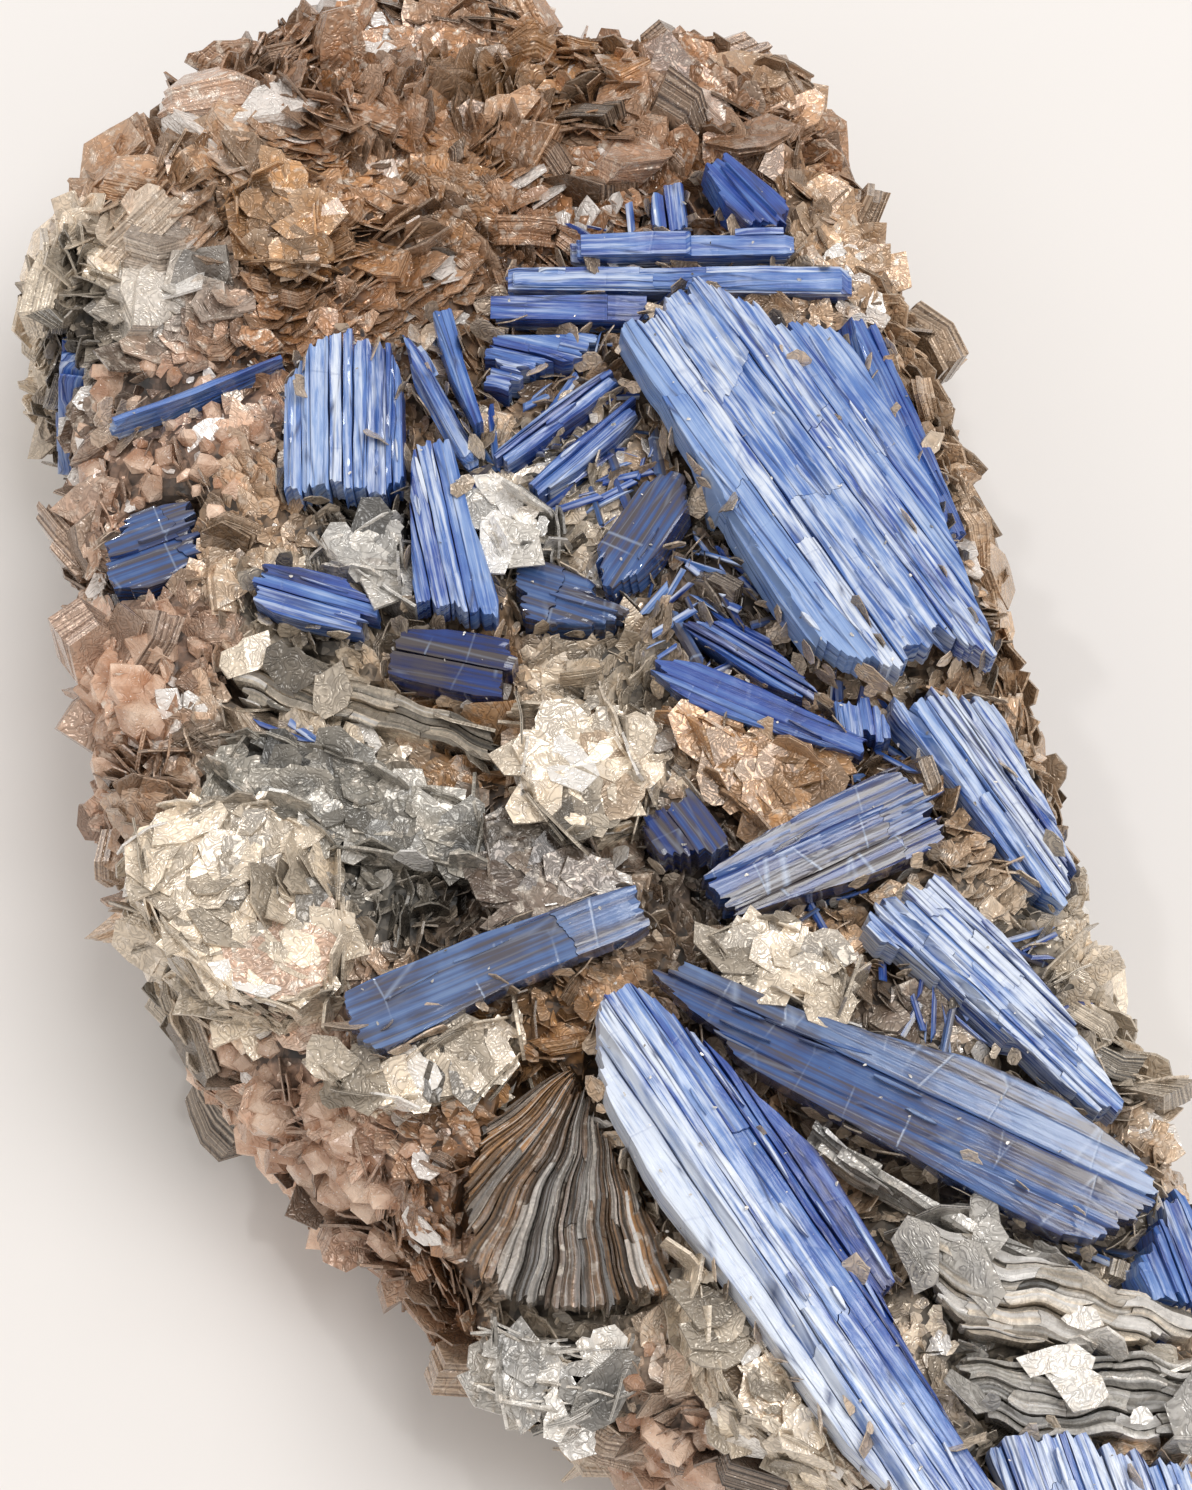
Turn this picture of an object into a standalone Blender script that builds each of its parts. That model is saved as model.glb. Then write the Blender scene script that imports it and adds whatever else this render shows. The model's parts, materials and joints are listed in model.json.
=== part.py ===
"""A hand specimen of kyanite: blue blades and books of mica grown in a block of mica rock.

Run it with: blender --background --python part.py

The block lies on its flat underside. +Z is up, +X and +Y span the underside, and the origin is the middle of
the face that it rests on. Outlines are plans in millimetres, seen from above.
"""

import math
from collections import namedtuple

import bmesh
import bpy
from mathutils import Matrix, Vector, noise

MM = 0.001

# The block of rock
BLOCK_HEIGHT = 28.5
BLOCK_OUTLINE = [
    (-36.5, 63.8), (-28.8, 72.4), (-17, 75), (-9.5, 75), (-6.8, 67), (-2.5, 66), (3.5, 71.4), (9, 69.6),
    (12, 64.5), (14.4, 57), (17.4, 46), (21.6, 33), (25.6, 15), (29.2, 0), (30.4, -7), (33, -19), (36, -29),
    (40.8, -42), (43, -53), (39, -61), (29, -60), (16, -50.5), (4, -45), (-7.5, -41.5), (-15, -31),
    (-24.5, -24), (-30, -16), (-36, -6.5), (-40, 5), (-41.5, 18), (-43.2, 30), (-47.2, 42), (-46.8, 52),
    (-41, 58.8),
]
# The face size that the block is shaped at, and the one that it is left with
FINE_GRID = 2.5
BLOCK_GRID = 5.4
# Share of the outline that the block keeps at each share of its height: undercut foot, belly, drawn-in rim
BLOCK_PROFILE = [(0.0, 0.86), (0.14, 0.95), (0.45, 1.0), (0.8, 0.985), (1.0, 0.95)]
FOOT_CUT = 1.6
# Swells and hollows of the top: plan position, radius and height
BLOCK_RELIEF = [
    (10, 24, 17, 1.6),
    (-28, 58, 13, 1.2),
    (5, 58, 8, 1.5),
    (-14, 56, 6, -2.5),
    (8, 3, 8, -3.2),
    (10, -24, 6, -5.0),
    (-22, -11, 9, 1.0),
    (-15, -11, 3, -3.0),
    (-6, -38, 9, -6.5),
    (-24, -22, 9, -7.0),
    (30, -40, 14, -0.5),
    (0, 20, 7, -1.5),
]
# How wide each bump or hollow is as a bell curve, as a share of its radius
RELIEF_WIDTH = 0.6
FAR_SLOPE_START = 44
FAR_SLOPE = 0.2
LUMP_SIZE = 11
LUMP_HEIGHT = 1.3
# The rock breaks along books of mica this size, which stand out or drop back by up to this much
BOOK_SIZE = 9
BOOK_STEP = 0.9

# The gap that each crystal keeps to the rock and to its neighbours, and the chamfer along the kyanite's edges
SEAM = 0.32
CHAMFER = 0.35
# Faces this close to one plane, in radians, are joined
FLAT_WITHIN = 0.02

# heading is the way its length runs in plan, dip lowers that end, and roll lifts its left side, all in degrees
Crystal = namedtuple("Crystal", "name outline top thick heading dip roll", defaults=(0, 0))
# A crystal on a wall of the block: the middle of its outer face, its sizes, the way that it faces (azimuth
# from +X and height above the horizon) and the turn of its length about that
WallCrystal = namedtuple("WallCrystal", "name at length width thick azimuth rise turn")

KYANITE = [
    Crystal("kyanite_great_blade", [
        (-4, -17.5), (-2.2, -15.8), (2.8, -19.5), (11, -27.7), (15.5, -35.7), (14.8, -37.6), (18.7, -45.3),
        (22, -51), (24.5, -56), (20.5, -56), (12.4, -47), (6.4, -38.3), (-0.5, -29), (-3.6, -23),
    ], 34.6, 10.0, -57, 3, -4),
    Crystal("kyanite_great_fan", [
        (-2.5, 34.5), (0.5, 36.5), (3, 39), (8, 36.7), (13.5, 35.5), (15.5, 33), (20, 23), (24, 10.5),
        (24.3, 7.8), (21, 9.5), (17.5, 7.5), (14, 7.3), (11, 9.5), (6, 18.3), (0.5, 28.8), (-0.6, 31),
    ], 33.4, 6.5, -60, 1, -5),
    Crystal("kyanite_long_blade", [
        (-0.6, -14.4), (1.6, -14.0), (9.5, -17.6), (20, -20.6), (26.4, -23.4), (32, -27.8), (32.8, -30.5),
        (29, -33.2), (26, -32.8), (14.5, -26), (5.5, -20.9),
    ], 33.2, 7.5, -28, 1, 6),
    Crystal("kyanite_crossing_blade", [
        (2.4, -8), (7.2, -4.3), (17, 1.2), (20.2, -1.5), (19.4, -5.2), (14, -7.6), (4.6, -10.8),
    ], 32.2, 7.0, 22, 1, 5),
    Crystal("kyanite_left_ray", [
        (-21.4, -16.4), (-11.7, -12.3), (-1.2, -8.7), (0.2, -11.6), (-9.8, -15.9), (-18, -20.4), (-20.2, -19.6),
    ], 33.6, 7.0, 20, -2, 7),
    Crystal("kyanite_right_sheaf", [
        (13.3, -11.5), (14.3, -9.2), (19.6, -6.8), (23.6, -11), (27.4, -16), (31.4, -23), (29.8, -24.2),
        (26, -21.6), (21.4, -16), (20.3, -13.4),
    ], 31.6, 6.5, -52, 2, -10),
    Crystal("kyanite_fan_tail", [
        (16, 7.2), (24.6, 7.6), (27.6, 0), (29.6, -6), (28, -9), (24.3, -5.5), (20.5, 1.5), (17, 5),
    ], 30.4, 6.0, -62, 3, -12),
    Crystal("kyanite_fan_step", [
        (12, 6.8), (17.2, 6.6), (17.7, 3.6), (13.2, 3.2),
    ], 30.2, 4.0, -84, 4, 0),
    Crystal("kyanite_rim_blade", [
        (14.6, 38.8), (17, 38), (20.2, 28.9), (22.9, 19.6), (21.2, 19), (18.6, 25), (15.6, 33.5),
    ], 30.0, 5.0, -66, 2, -32),
    Crystal("kyanite_top_bar", [
        (-6.4, 43.7), (10.6, 44.2), (10.8, 42.2), (-5.8, 41.8),
    ], 31.6, 4.0, 2, 0, 12),
    Crystal("kyanite_middle_bar", [
        (-10.6, 41.4), (14.4, 41.4), (15.2, 39.2), (-11.2, 39.6),
    ], 30.8, 3.5, -1, 0, 14),
    Crystal("kyanite_lower_bar", [
        (-12.2, 39.2), (0.2, 39.2), (-0.6, 36.9), (-12.2, 37.1),
    ], 30.6, 3.5, 0, 0, 14),
    Crystal("kyanite_small_block", [
        (0, 48.8), (2.6, 48.8), (2.9, 44.5), (0, 44.3),
    ], 31.0, 4.5, 92, 0, 0),
    Crystal("kyanite_corner_block", [
        (4, 50.3), (5.8, 51.3), (10.5, 47), (10.5, 44.6), (6.8, 44.5), (5.5, 46.8),
    ], 31.4, 4.5, -58, 0, -8),
    Crystal("kyanite_knot", [
        (-12.2, 36.4), (-3.2, 36.4), (-3.8, 34.2), (-8, 33.8), (-10.8, 30.8), (-12.2, 31.3),
    ], 30.6, 4.0, -165, 0, 0),
    Crystal("kyanite_comb_panel", [
        (-26.6, 31.5), (-24.6, 34.8), (-23.2, 35.6), (-18.7, 35), (-18, 31), (-17.6, 23), (-18.9, 21.2),
        (-25, 21.6), (-26.3, 22.2),
    ], 32.4, 4.5, -87, -2, 3),
    Crystal("kyanite_curved_blade", [
        (-18.3, 36.2), (-16.7, 34.2), (-12.4, 25.6), (-13, 24.4), (-14.4, 25.6), (-17.4, 31.2),
    ], 31.6, 3.5, -63, 2, 12),
    Crystal("kyanite_needle", [
        (-16.3, 38), (-14.6, 38), (-13.4, 32.4), (-11.8, 27.4), (-12.5, 27.2), (-15, 32.8),
    ], 32.0, 3.0, -74, 1, 0),
    Crystal("kyanite_standing_blade", [
        (-17.4, 22.9), (-17.1, 26.6), (-14.5, 26.8), (-13, 20.5), (-10.6, 13.3), (-10.9, 11.6), (-17, 12.5),
    ], 32.6, 5.0, -80, -1, 0),
    Crystal("kyanite_arrow_blade", [
        (-29.4, 14.2), (-27.6, 16.4), (-25, 16), (-21.7, 15.3), (-19, 12.8), (-19.4, 10.6), (-22, 11.2),
        (-27.3, 12.6),
    ], 31.8, 4.0, -15, 0, 8),
    Crystal("kyanite_indigo_block", [
        (-18.4, 11.5), (-14.9, 11.5), (-9.6, 10.5), (-9.8, 6), (-12.8, 6.4), (-18.9, 8),
    ], 31.6, 4.5, -8, 0, 4),
    Crystal("kyanite_dark_needle", [
        (-1.2, 9.3), (2.6, 9.1), (7.4, 7), (15, 2.9), (14.6, 1.8), (9.4, 3.2), (2.5, 5.6),
    ], 31.4, 4.5, -23, 2, 10),
    Crystal("kyanite_dark_splinter", [
        (1.3, 13), (4.7, 13), (9.4, 10.1), (11.9, 7.4), (11.4, 6.4), (7.4, 8.2),
    ], 29.8, 4.0, -31, 2, 8),
    Crystal("kyanite_smoky_blade", [
        (-4.4, 18.7), (-2.6, 20.5), (-0.8, 24), (2.2, 24.9), (2.8, 21.6), (-0.8, 16.2), (-3.7, 14.6),
    ], 30.4, 4.5, 58, 0, -8),
    Crystal("kyanite_pebble", [
        (-10.4, 16.6), (-8, 17.8), (-2.5, 15.4), (-1.2, 13.4), (-3.8, 12.4), (-8.9, 12.6),
    ], 30.0, 4.0, -18, 0, 0),
    Crystal("kyanite_upper_splinter", [
        (-2.7, 33.6), (-1.6, 32.6), (-6.6, 28), (-11, 24.7), (-11.8, 25.8), (-6.9, 30.4),
    ], 30.6, 3.5, 43, 0, 0),
    Crystal("kyanite_lower_splinter", [
        (-1.2, 31.2), (-0.4, 29.8), (-5.2, 24.6), (-8.4, 22.3), (-9.2, 23.4), (-6.4, 26.6),
    ], 30.4, 3.5, 43, 0, 0),
    Crystal("kyanite_stub", [
        (-1.2, -3.2), (2.2, -0.2), (5.1, -4.8), (4.6, -5.6), (0.4, -6.2),
    ], 32.0, 5.5, -58, -6, 0),
    Crystal("kyanite_corner_blade", [
        (33.6, -28), (35.3, -28.6), (37, -33), (35.2, -37), (31.4, -36.2), (31.2, -34.2),
    ], 29.8, 5.0, -72, 0, -20),
    Crystal("kyanite_front_apron", [
        (20.6, -45.4), (26, -44.8), (34, -46.6), (38.6, -51.5), (35.5, -57), (25, -55.8),
    ], 30.2, 5.0, -78, 5, 0),
    Crystal("kyanite_quartz_patch", [
        (-40, 19.6), (-37.6, 22.6), (-32.4, 23.2), (-32.4, 18.4), (-35.5, 16), (-39.2, 16),
    ], 28.8, 5.0, 20, -4, 0),
    Crystal("kyanite_sliver", [
        (-40, 29.2), (-26.9, 34.9), (-26.9, 33.6), (-33, 30.6), (-39.4, 28.2),
    ], 30.4, 3.0, 23, 0, 0),
    WallCrystal("kyanite_left_wall_blade", (-44.9, 35.6, 20), 13, 4, 2.5, 176, 6, -76),
    WallCrystal("kyanite_front_wall_blade", (11.2, -48.2, 15), 11, 4.5, 3.5, -112, 12, 78),
    WallCrystal("kyanite_right_wall_blade", (26.2, 12, 14), 25, 7, 4, 6, 14, 14),
    WallCrystal("kyanite_right_wall_splinter", (22.4, 31.5, 13.5), 18, 4, 3, 18, 10, -22),
    WallCrystal("kyanite_far_wall_blade", (-23, 73.2, 12.5), 20, 6, 4, 96, 12, 12),
    WallCrystal("kyanite_tail_wall_blade", (42.0, -45, 13), 21, 6.5, 4, 12, 10, 20),
]

# Laths of a blade that lie lower than its top: (right side, left side) across it and the drop
LATH_STEPS = {
    "kyanite_great_blade": [(-10, -2.6, 1.4), (2.4, 10, 0.9)],
    "kyanite_great_fan": [(-12, -6.4, 1.2), (-2.6, 0.6, 0.5), (4.2, 12, 0.9)],
    "kyanite_long_blade": [(-8, -2.2, 0.8), (2.6, 8, 0.5)],
    "kyanite_comb_panel": [(-8, -2.8, 0.7), (2.2, 8, 0.6)],
    "kyanite_fan_tail": [(-8, -2.0, 0.9), (1.6, 8, 0.7)],
    "kyanite_right_sheaf": [(-8, -1.2, 0.8)],
    "kyanite_crossing_blade": [(1.0, 8, 0.6)],
    "kyanite_left_ray": [(-8, -1.2, 0.7)],
    "kyanite_front_apron": [(0.5, 12, 0.8)],
}

MICA = [
    Crystal("mica_cream_book", [
        (-35.2, -4.4), (-31.9, -2), (-27.1, -1.8), (-24, -3.4), (-21.8, -7), (-20.9, -12.1), (-21.9, -15.2),
        (-25.2, -15.9), (-29, -15), (-31.8, -12.4), (-34.2, -8.4),
    ], 30.8, 7.0, 0, 4, 2),
    Crystal("mica_fan_book", [
        (-8.4, -19.8), (-10, -22), (-12.6, -27), (-13.2, -32.6), (-10.2, -36), (-4.4, -37), (1, -35.6),
        (2.2, -31.9), (-0.2, -26.5), (-4, -22.7), (-6.8, -19.6),
    ], 30.0, 7.0, -90, 8, 0),
    Crystal("mica_amber_sheet", [
        (2.6, -31), (4.4, -33), (6.4, -38), (11, -45.5), (13.2, -48.4), (9, -45.6), (4.9, -43.4), (3.3, -40),
        (2.4, -35),
    ], 30.6, 5.0, -65, 4, -10),
    Crystal("mica_silver_stack", [
        (15.8, -30.8), (22.3, -33.2), (27.4, -34.4), (31, -36.6), (35.7, -37.4), (34.4, -39.2),
        (25.8, -39.6), (19.8, -39), (17.6, -35.6),
    ], 31.6, 5.0, -10, 0, 6),
    Crystal("mica_wavy_stack", [
        (18.6, -40), (28.5, -40.4), (34.9, -40.2), (39.2, -43.4), (34.5, -45.8), (26.9, -44), (21, -44.6),
    ], 30.6, 5.5, -6, 0, 6),
    Crystal("mica_white_foot", [
        (-10.8, -36.8), (-6.4, -37.8), (-2.4, -38), (-2.6, -41), (-6.4, -42.4), (-9.9, -41),
    ], 23.6, 6.0, 0, 2, 12),
    Crystal("mica_scalloped_book", [
        (-21.6, -20.4), (-18.6, -21), (-11, -17.6), (-9.4, -17), (-8.9, -19.4), (-11.7, -22),
        (-17, -22.8), (-20.6, -21.9),
    ], 30.4, 4.5, 12, 0, 12),
    Crystal("mica_grey_shingles", [
        (-30.8, 9.4), (-27.4, 10.8), (-22.6, 9.8), (-19.4, 7.4), (-14.8, 5.4), (-10.4, 4.2), (-11, 1.6),
        (-17.5, 4), (-23, 5.2), (-28.8, 6.4),
    ], 30.6, 5.0, -22, 0, 10),
    Crystal("mica_cream_flower", [
        (-9, 5.2), (-6.5, 5), (-3.6, 5.2), (-0.4, -0.4), (-1.6, -3.4), (-5.8, -4.6), (-8.9, -1.2),
    ], 32.4, 5.5, -60, 0, 0),
    Crystal("mica_grey_sheet", [
        (-30.4, 0.4), (-28, 3.2), (-23.2, 2), (-16.1, -0.8), (-12.3, -1.9), (-11.9, -6.6), (-17.4, -5.6),
        (-21.6, -5), (-24, -2.6), (-27.4, -1.4),
    ], 31.0, 4.0, -22, 1, 4),
    Crystal("mica_pale_leaf", [
        (3.8, -12.3), (7, -11.2), (10, -12), (13, -15.4), (12, -17.2), (8.6, -16.4), (5, -14.4),
    ], 33.2, 6.0, -36, 0, 0),
    Crystal("mica_white_curl", [
        (-12, 22.4), (-9.8, 21.8), (-7, 20.8), (-6.8, 18.8), (-9, 18.2), (-10.8, 17.6), (-11.6, 19.4),
    ], 31.0, 4.5, -30, 0, 0),
    Crystal("mica_white_fold", [
        (-23.4, 18.4), (-19.6, 19.6), (-17.9, 19.2), (-17.9, 13.8), (-20.4, 15.8), (-22.4, 16.8),
    ], 31.2, 4.0, -40, 0, 0),
    Crystal("mica_smoky_sheet", [
        (-11.4, -3), (-8.6, -2.2), (-4, -5), (-2.8, -7.4), (-6.2, -9.4), (-11, -10.8), (-11.4, -7),
    ], 30.8, 4.0, -30, 0, -4),
    Crystal("mica_brown_lump", [
        (2.4, 5), (8.4, 3), (11.4, 1.6), (11.2, -1.4), (7.3, -3), (4.4, 0.4),
    ], 30.0, 5.0, -25, 0, 4),
    Crystal("mica_silver_ribbon", [
        (10.2, -23.8), (13.4, -26.6), (20, -30.4), (25.2, -33), (27, -33.8), (20, -32), (14.2, -28),
    ], 31.0, 4.0, -33, 0, 0),
    Crystal("mica_silver_book", [
        (-30.8, 47.6), (-27.3, 49.4), (-24.4, 46), (-24.6, 41.4), (-28.8, 41.9), (-30.5, 44.7),
    ], 31.2, 4.5, -70, 8, 12),
]
MICA_ON_WALLS = [
    WallCrystal("mica_far_wall_book", (-1, 70, 12.6), 12, 10, 5, 80, 8, 15),
    WallCrystal("mica_left_wall_book", (-39.7, 8.6, 13), 10, 8, 4.5, 172, 4, 20),
]


def smooth_outline(points, steps):
    """Points on the closed Catmull-Rom curve through these, a few between each pair."""
    found = []
    count = len(points)
    for i in range(count):
        a, b, c, d = (Vector(points[(i + k) % count]) for k in (-1, 0, 1, 2))
        for step in range(steps):
            t = step / steps
            found.append(
                0.5 * (2 * b + (c - a) * t + (2 * a - 5 * b + 4 * c - d) * t**2 + (3 * b - a - 3 * c + d) * t**3)
            )
    return found


def share_at(height, profile):
    """The profile's value at a share of the height, read along straight lines between its points."""
    for (low, first), (high, last) in zip(profile, profile[1:]):
        if height <= high:
            t = max(0.0, (height - low) / (high - low))
            return first + (last - first) * t
    return profile[-1][1]


def top_level(x, y):
    """Height of the block's top over a plan position, in millimetres."""
    level = BLOCK_HEIGHT - FAR_SLOPE * max(0.0, y - FAR_SLOPE_START)
    for cx, cy, radius, height in BLOCK_RELIEF:
        width = RELIEF_WIDTH * radius
        level += height * math.exp(-((x - cx) ** 2 + (y - cy) ** 2) / (2 * width**2))
    return level


def material(name, colour, roughness):
    made = bpy.data.materials.new(name)
    made.use_nodes = True
    shader = made.node_tree.nodes["Principled BSDF"]
    shader.inputs["Base Color"].default_value = (*colour, 1)
    shader.inputs["Roughness"].default_value = roughness
    shader.inputs["Metallic"].default_value = 0
    made.diffuse_color = (*colour, 1)
    return made


def grown_outline(points, swell):
    """The outline moved outwards by swell, each corner along the line that halves it."""
    found = []
    for i, point in enumerate(points):
        before = (point - points[i - 1]).normalized()
        after = (points[(i + 1) % len(points)] - point).normalized()
        out = Vector((before.y, -before.x)) + Vector((after.y, -after.x))
        # Half of the square of out is 1 + the cosine of the corner's turn; sharp corners are held to twice the swell
        found.append(point + out * swell / max(0.5, out.length_squared / 2))
    return found


def outline_mesh(name, points, thick, swell=0.0):
    """A flat plate of this outline in metres, its upper face at z = 0. A swell grows it by that much all round."""
    area = sum(a.x * b.y - b.x * a.y for a, b in zip(points, points[1:] + points[:1]))
    if area < 0:
        points = points[::-1]
    points = grown_outline(points, swell)
    curve = bpy.data.curves.new(name, "CURVE")
    curve.dimensions = "2D"
    curve.fill_mode = "BOTH"
    curve.extrude = thick / 2 + swell
    spline = curve.splines.new("POLY")
    spline.points.add(len(points) - 1)
    for target, point in zip(spline.points, points):
        target.co = (point.x, point.y, 0, 1)
    spline.use_cyclic_u = True
    drawn = bpy.data.objects.new(name, curve)
    bpy.context.scene.collection.objects.link(drawn)
    graph = bpy.context.evaluated_depsgraph_get()
    mesh = bpy.data.meshes.new_from_object(drawn.evaluated_get(graph))
    bpy.data.objects.remove(drawn)
    bpy.data.curves.remove(curve)
    mesh.transform(Matrix.Translation((0, 0, -thick / 2)))
    weld(mesh)
    return mesh


def weld(mesh):
    edit = bmesh.new()
    edit.from_mesh(mesh)
    bmesh.ops.remove_doubles(edit, verts=edit.verts, dist=1e-6)
    bmesh.ops.recalc_face_normals(edit, faces=edit.faces)
    edit.to_mesh(mesh)
    edit.free()


def join_flat_faces(mesh):
    """Makes one face of each flat stretch."""
    edit = bmesh.new()
    edit.from_mesh(mesh)
    bmesh.ops.dissolve_limit(edit, angle_limit=FLAT_WITHIN, verts=edit.verts, edges=edit.edges)
    edit.to_mesh(mesh)
    edit.free()


def clean_cut(mesh):
    """Splits the faces into triangles and drops fragments that a cut has left beside the piece."""
    edit = bmesh.new()
    edit.from_mesh(mesh)
    bmesh.ops.triangulate(edit, faces=edit.faces)
    unseen = set(edit.verts)
    islands = []
    while unseen:
        island = set()
        front = [unseen.pop()]
        while front:
            vertex = front.pop()
            island.add(vertex)
            for edge in vertex.link_edges:
                other = edge.other_vert(vertex)
                if other in unseen:
                    unseen.remove(other)
                    front.append(other)
        islands.append(island)
    islands.sort(key=len, reverse=True)
    for island in islands[1:]:
        bmesh.ops.delete(edit, geom=list(island), context="VERTS")
    edit.to_mesh(mesh)
    edit.free()


# The corners of a blade with broken ends, as shares of half its length and of half its width
BROKEN_BLADE = [
    (-1, -0.5), (-0.9, -1), (0.86, -1), (1, -0.3), (0.88, 0.35), (0.9, 1), (-0.84, 1), (-0.93, 0.3),
]


def lath_outline(length, width):
    """The outline of a broken blade: straight sides and ends that step and slant."""
    return [Vector((along * length / 2, across * width / 2)) for along, across in BROKEN_BLADE]


def crystal_place(spec):
    """(outline about its middle in metres, matrix that sets it in the rock)."""
    if isinstance(spec, WallCrystal):
        turn = (
            Matrix.Rotation(math.radians(spec.azimuth), 4, "Z")
            @ Matrix.Rotation(math.radians(90 - spec.rise), 4, "Y")
            @ Matrix.Rotation(math.radians(90 + spec.turn), 4, "Z")
        )
        outline = lath_outline(spec.length * MM, spec.width * MM)
        return outline, Matrix.Translation(Vector(spec.at) * MM) @ turn
    middle = sum((Vector(p) for p in spec.outline), Vector((0, 0))) / len(spec.outline)
    back = Matrix.Rotation(-math.radians(spec.heading), 2)
    outline = [back @ (Vector(p) - middle) * MM for p in spec.outline]
    turn = (
        Matrix.Rotation(math.radians(spec.heading), 4, "Z")
        @ Matrix.Rotation(math.radians(spec.dip), 4, "Y")
        @ Matrix.Rotation(math.radians(spec.roll), 4, "X")
    )
    return outline, Matrix.Translation((middle.x * MM, middle.y * MM, spec.top * MM)) @ turn


def new_object(name, mesh, collection, place=None):
    made = bpy.data.objects.new(name, mesh)
    collection.objects.link(made)
    if place is not None:
        made.matrix_world = place
    return made


def subtract(target, cutter):
    cut = target.modifiers.new("Cut " + cutter.name, "BOOLEAN")
    cut.operation = "DIFFERENCE"
    cut.object = cutter


def settle(target):
    """Applies a piece's modifiers and keeps its largest part."""
    bpy.context.view_layer.update()
    graph = bpy.context.evaluated_depsgraph_get()
    mesh = bpy.data.meshes.new_from_object(target.evaluated_get(graph))
    target.modifiers.clear()
    target.data = mesh
    clean_cut(mesh)


def world_box(target):
    corners = [target.matrix_world @ Vector(corner) for corner in target.bound_box]
    return (
        [min(c[axis] for c in corners) for axis in range(3)],
        [max(c[axis] for c in corners) for axis in range(3)],
    )


def near(first, second):
    (low_a, high_a), (low_b, high_b) = world_box(first), world_box(second)
    return all(low_a[k] <= high_b[k] and low_b[k] <= high_a[k] for k in range(3))


def shave_laths(crystal, outline, steps):
    """Lowers strips of a blade's top that run its whole length."""
    reach = max(abs(point.x) for point in outline) + MM
    for right, left, drop in steps:
        corners = ((-reach, right), (reach, right), (reach, left), (-reach, left))
        strip = [Vector((x, y * MM)) for x, y in corners]
        mesh = outline_mesh("strip", strip, 2 * drop * MM)
        mesh.transform(Matrix.Translation((0, 0, drop * MM)))
        shaver = new_object("strip", mesh, bpy.context.scene.collection, crystal.matrix_world)
        bpy.context.view_layer.update()
        subtract(crystal, shaver)
        settle(crystal)
        bpy.data.objects.remove(shaver)


def make_crystals(specs, finish_of, chamfer, specimen, cutters, earlier):
    """Sets each crystal in turn. One that meets an earlier crystal grew round it, so it is cut back to a seam."""
    for spec in specs:
        outline, place = crystal_place(spec)
        crystal = new_object(spec.name, outline_mesh(spec.name, outline, spec.thick * MM), specimen, place)
        crystal.data.materials.append(finish_of(spec.name))
        shave_laths(crystal, outline, LATH_STEPS.get(spec.name, ()))
        if chamfer:
            bevel = crystal.modifiers.new("Chamfer", "BEVEL")
            bevel.width = chamfer * MM
            bevel.segments = 1
        cutter_mesh = outline_mesh(spec.name + "_seat", outline, spec.thick * MM, SEAM * MM)
        cutter = new_object(spec.name + "_seat", cutter_mesh, cutters, place)
        cutter.hide_render = True
        cutter.display_type = "WIRE"
        bpy.context.view_layer.update()
        for other in earlier:
            if near(crystal, other):
                subtract(crystal, other)
        settle(crystal)
        join_flat_faces(crystal.data)
        clean_cut(crystal.data)
        earlier.append(cutter)


def remesh(target, size):
    """Wraps a piece in one closed skin of even faces."""
    even = target.modifiers.new("Even faces", "REMESH")
    even.mode = "VOXEL"
    even.voxel_size = size * MM
    settle(target)


def make_block(specimen, cutters, finish):
    """The block of mica rock, with a seat cut in it for every crystal."""
    outline = [point * MM for point in smooth_outline(BLOCK_OUTLINE, 3)]
    mesh = outline_mesh("mica_matrix", outline, BLOCK_HEIGHT * MM)
    mesh.transform(Matrix.Translation((0, 0, BLOCK_HEIGHT * MM)))
    block = new_object("mica_matrix", mesh, specimen)
    remesh(block, FINE_GRID)
    for vertex in block.data.vertices:
        vertex.co = weathered(vertex.co / MM, vertex.normal) * MM
    remesh(block, BLOCK_GRID)
    lowest = min(vertex.co.z for vertex in block.data.vertices)
    for vertex in block.data.vertices:
        vertex.co.z = 0 if vertex.co.z - lowest < FOOT_CUT * MM else vertex.co.z - lowest
    join_flat_faces(block.data)
    clean_cut(block.data)
    block.data.materials.append(finish)
    bpy.context.view_layer.update()
    for cutter in cutters:
        subtract(block, cutter)
        settle(block)


def weathered(point, normal):
    """Where a point of the plain block goes: the profile of the walls, the relief of the top, then lumps."""
    share = min(1.0, max(0.0, point.z / BLOCK_HEIGHT))
    drawn_in = share_at(share, BLOCK_PROFILE)
    x, y = point.x * drawn_in, point.y * drawn_in
    z = share * top_level(x, y)
    rough = LUMP_HEIGHT * noise.noise(Vector((x, y, z)) / LUMP_SIZE)
    site = noise.voronoi(Vector((x, y, 1.4 * z)) / BOOK_SIZE)[1][0]
    rough += BOOK_STEP * noise.cell(site * 10)
    if z < FOOT_CUT:
        rough = 0
    return Vector((x, y, z)) + normal * rough


def kyanite_finish():
    pale = material("kyanite pale blue", (0.33, 0.50, 0.82), 0.35)
    blue = material("kyanite blue", (0.12, 0.24, 0.62), 0.3)
    indigo = material("kyanite indigo", (0.04, 0.06, 0.24), 0.25)
    dark = {
        "kyanite_indigo_block", "kyanite_dark_needle", "kyanite_dark_splinter", "kyanite_stub",
        "kyanite_left_wall_blade", "kyanite_front_wall_blade",
    }
    light = {"kyanite_great_fan", "kyanite_comb_panel", "kyanite_right_sheaf", "kyanite_front_apron"}

    def finish_of(name):
        return indigo if name in dark else pale if name in light else blue

    return finish_of


def mica_finish():
    silver = material("mica silver", (0.62, 0.58, 0.52), 0.25)
    tan = material("mica tan", (0.48, 0.32, 0.19), 0.3)

    def finish_of(name):
        return silver if any(word in name for word in ("silver", "grey", "white", "wavy")) else tan

    return finish_of


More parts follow.
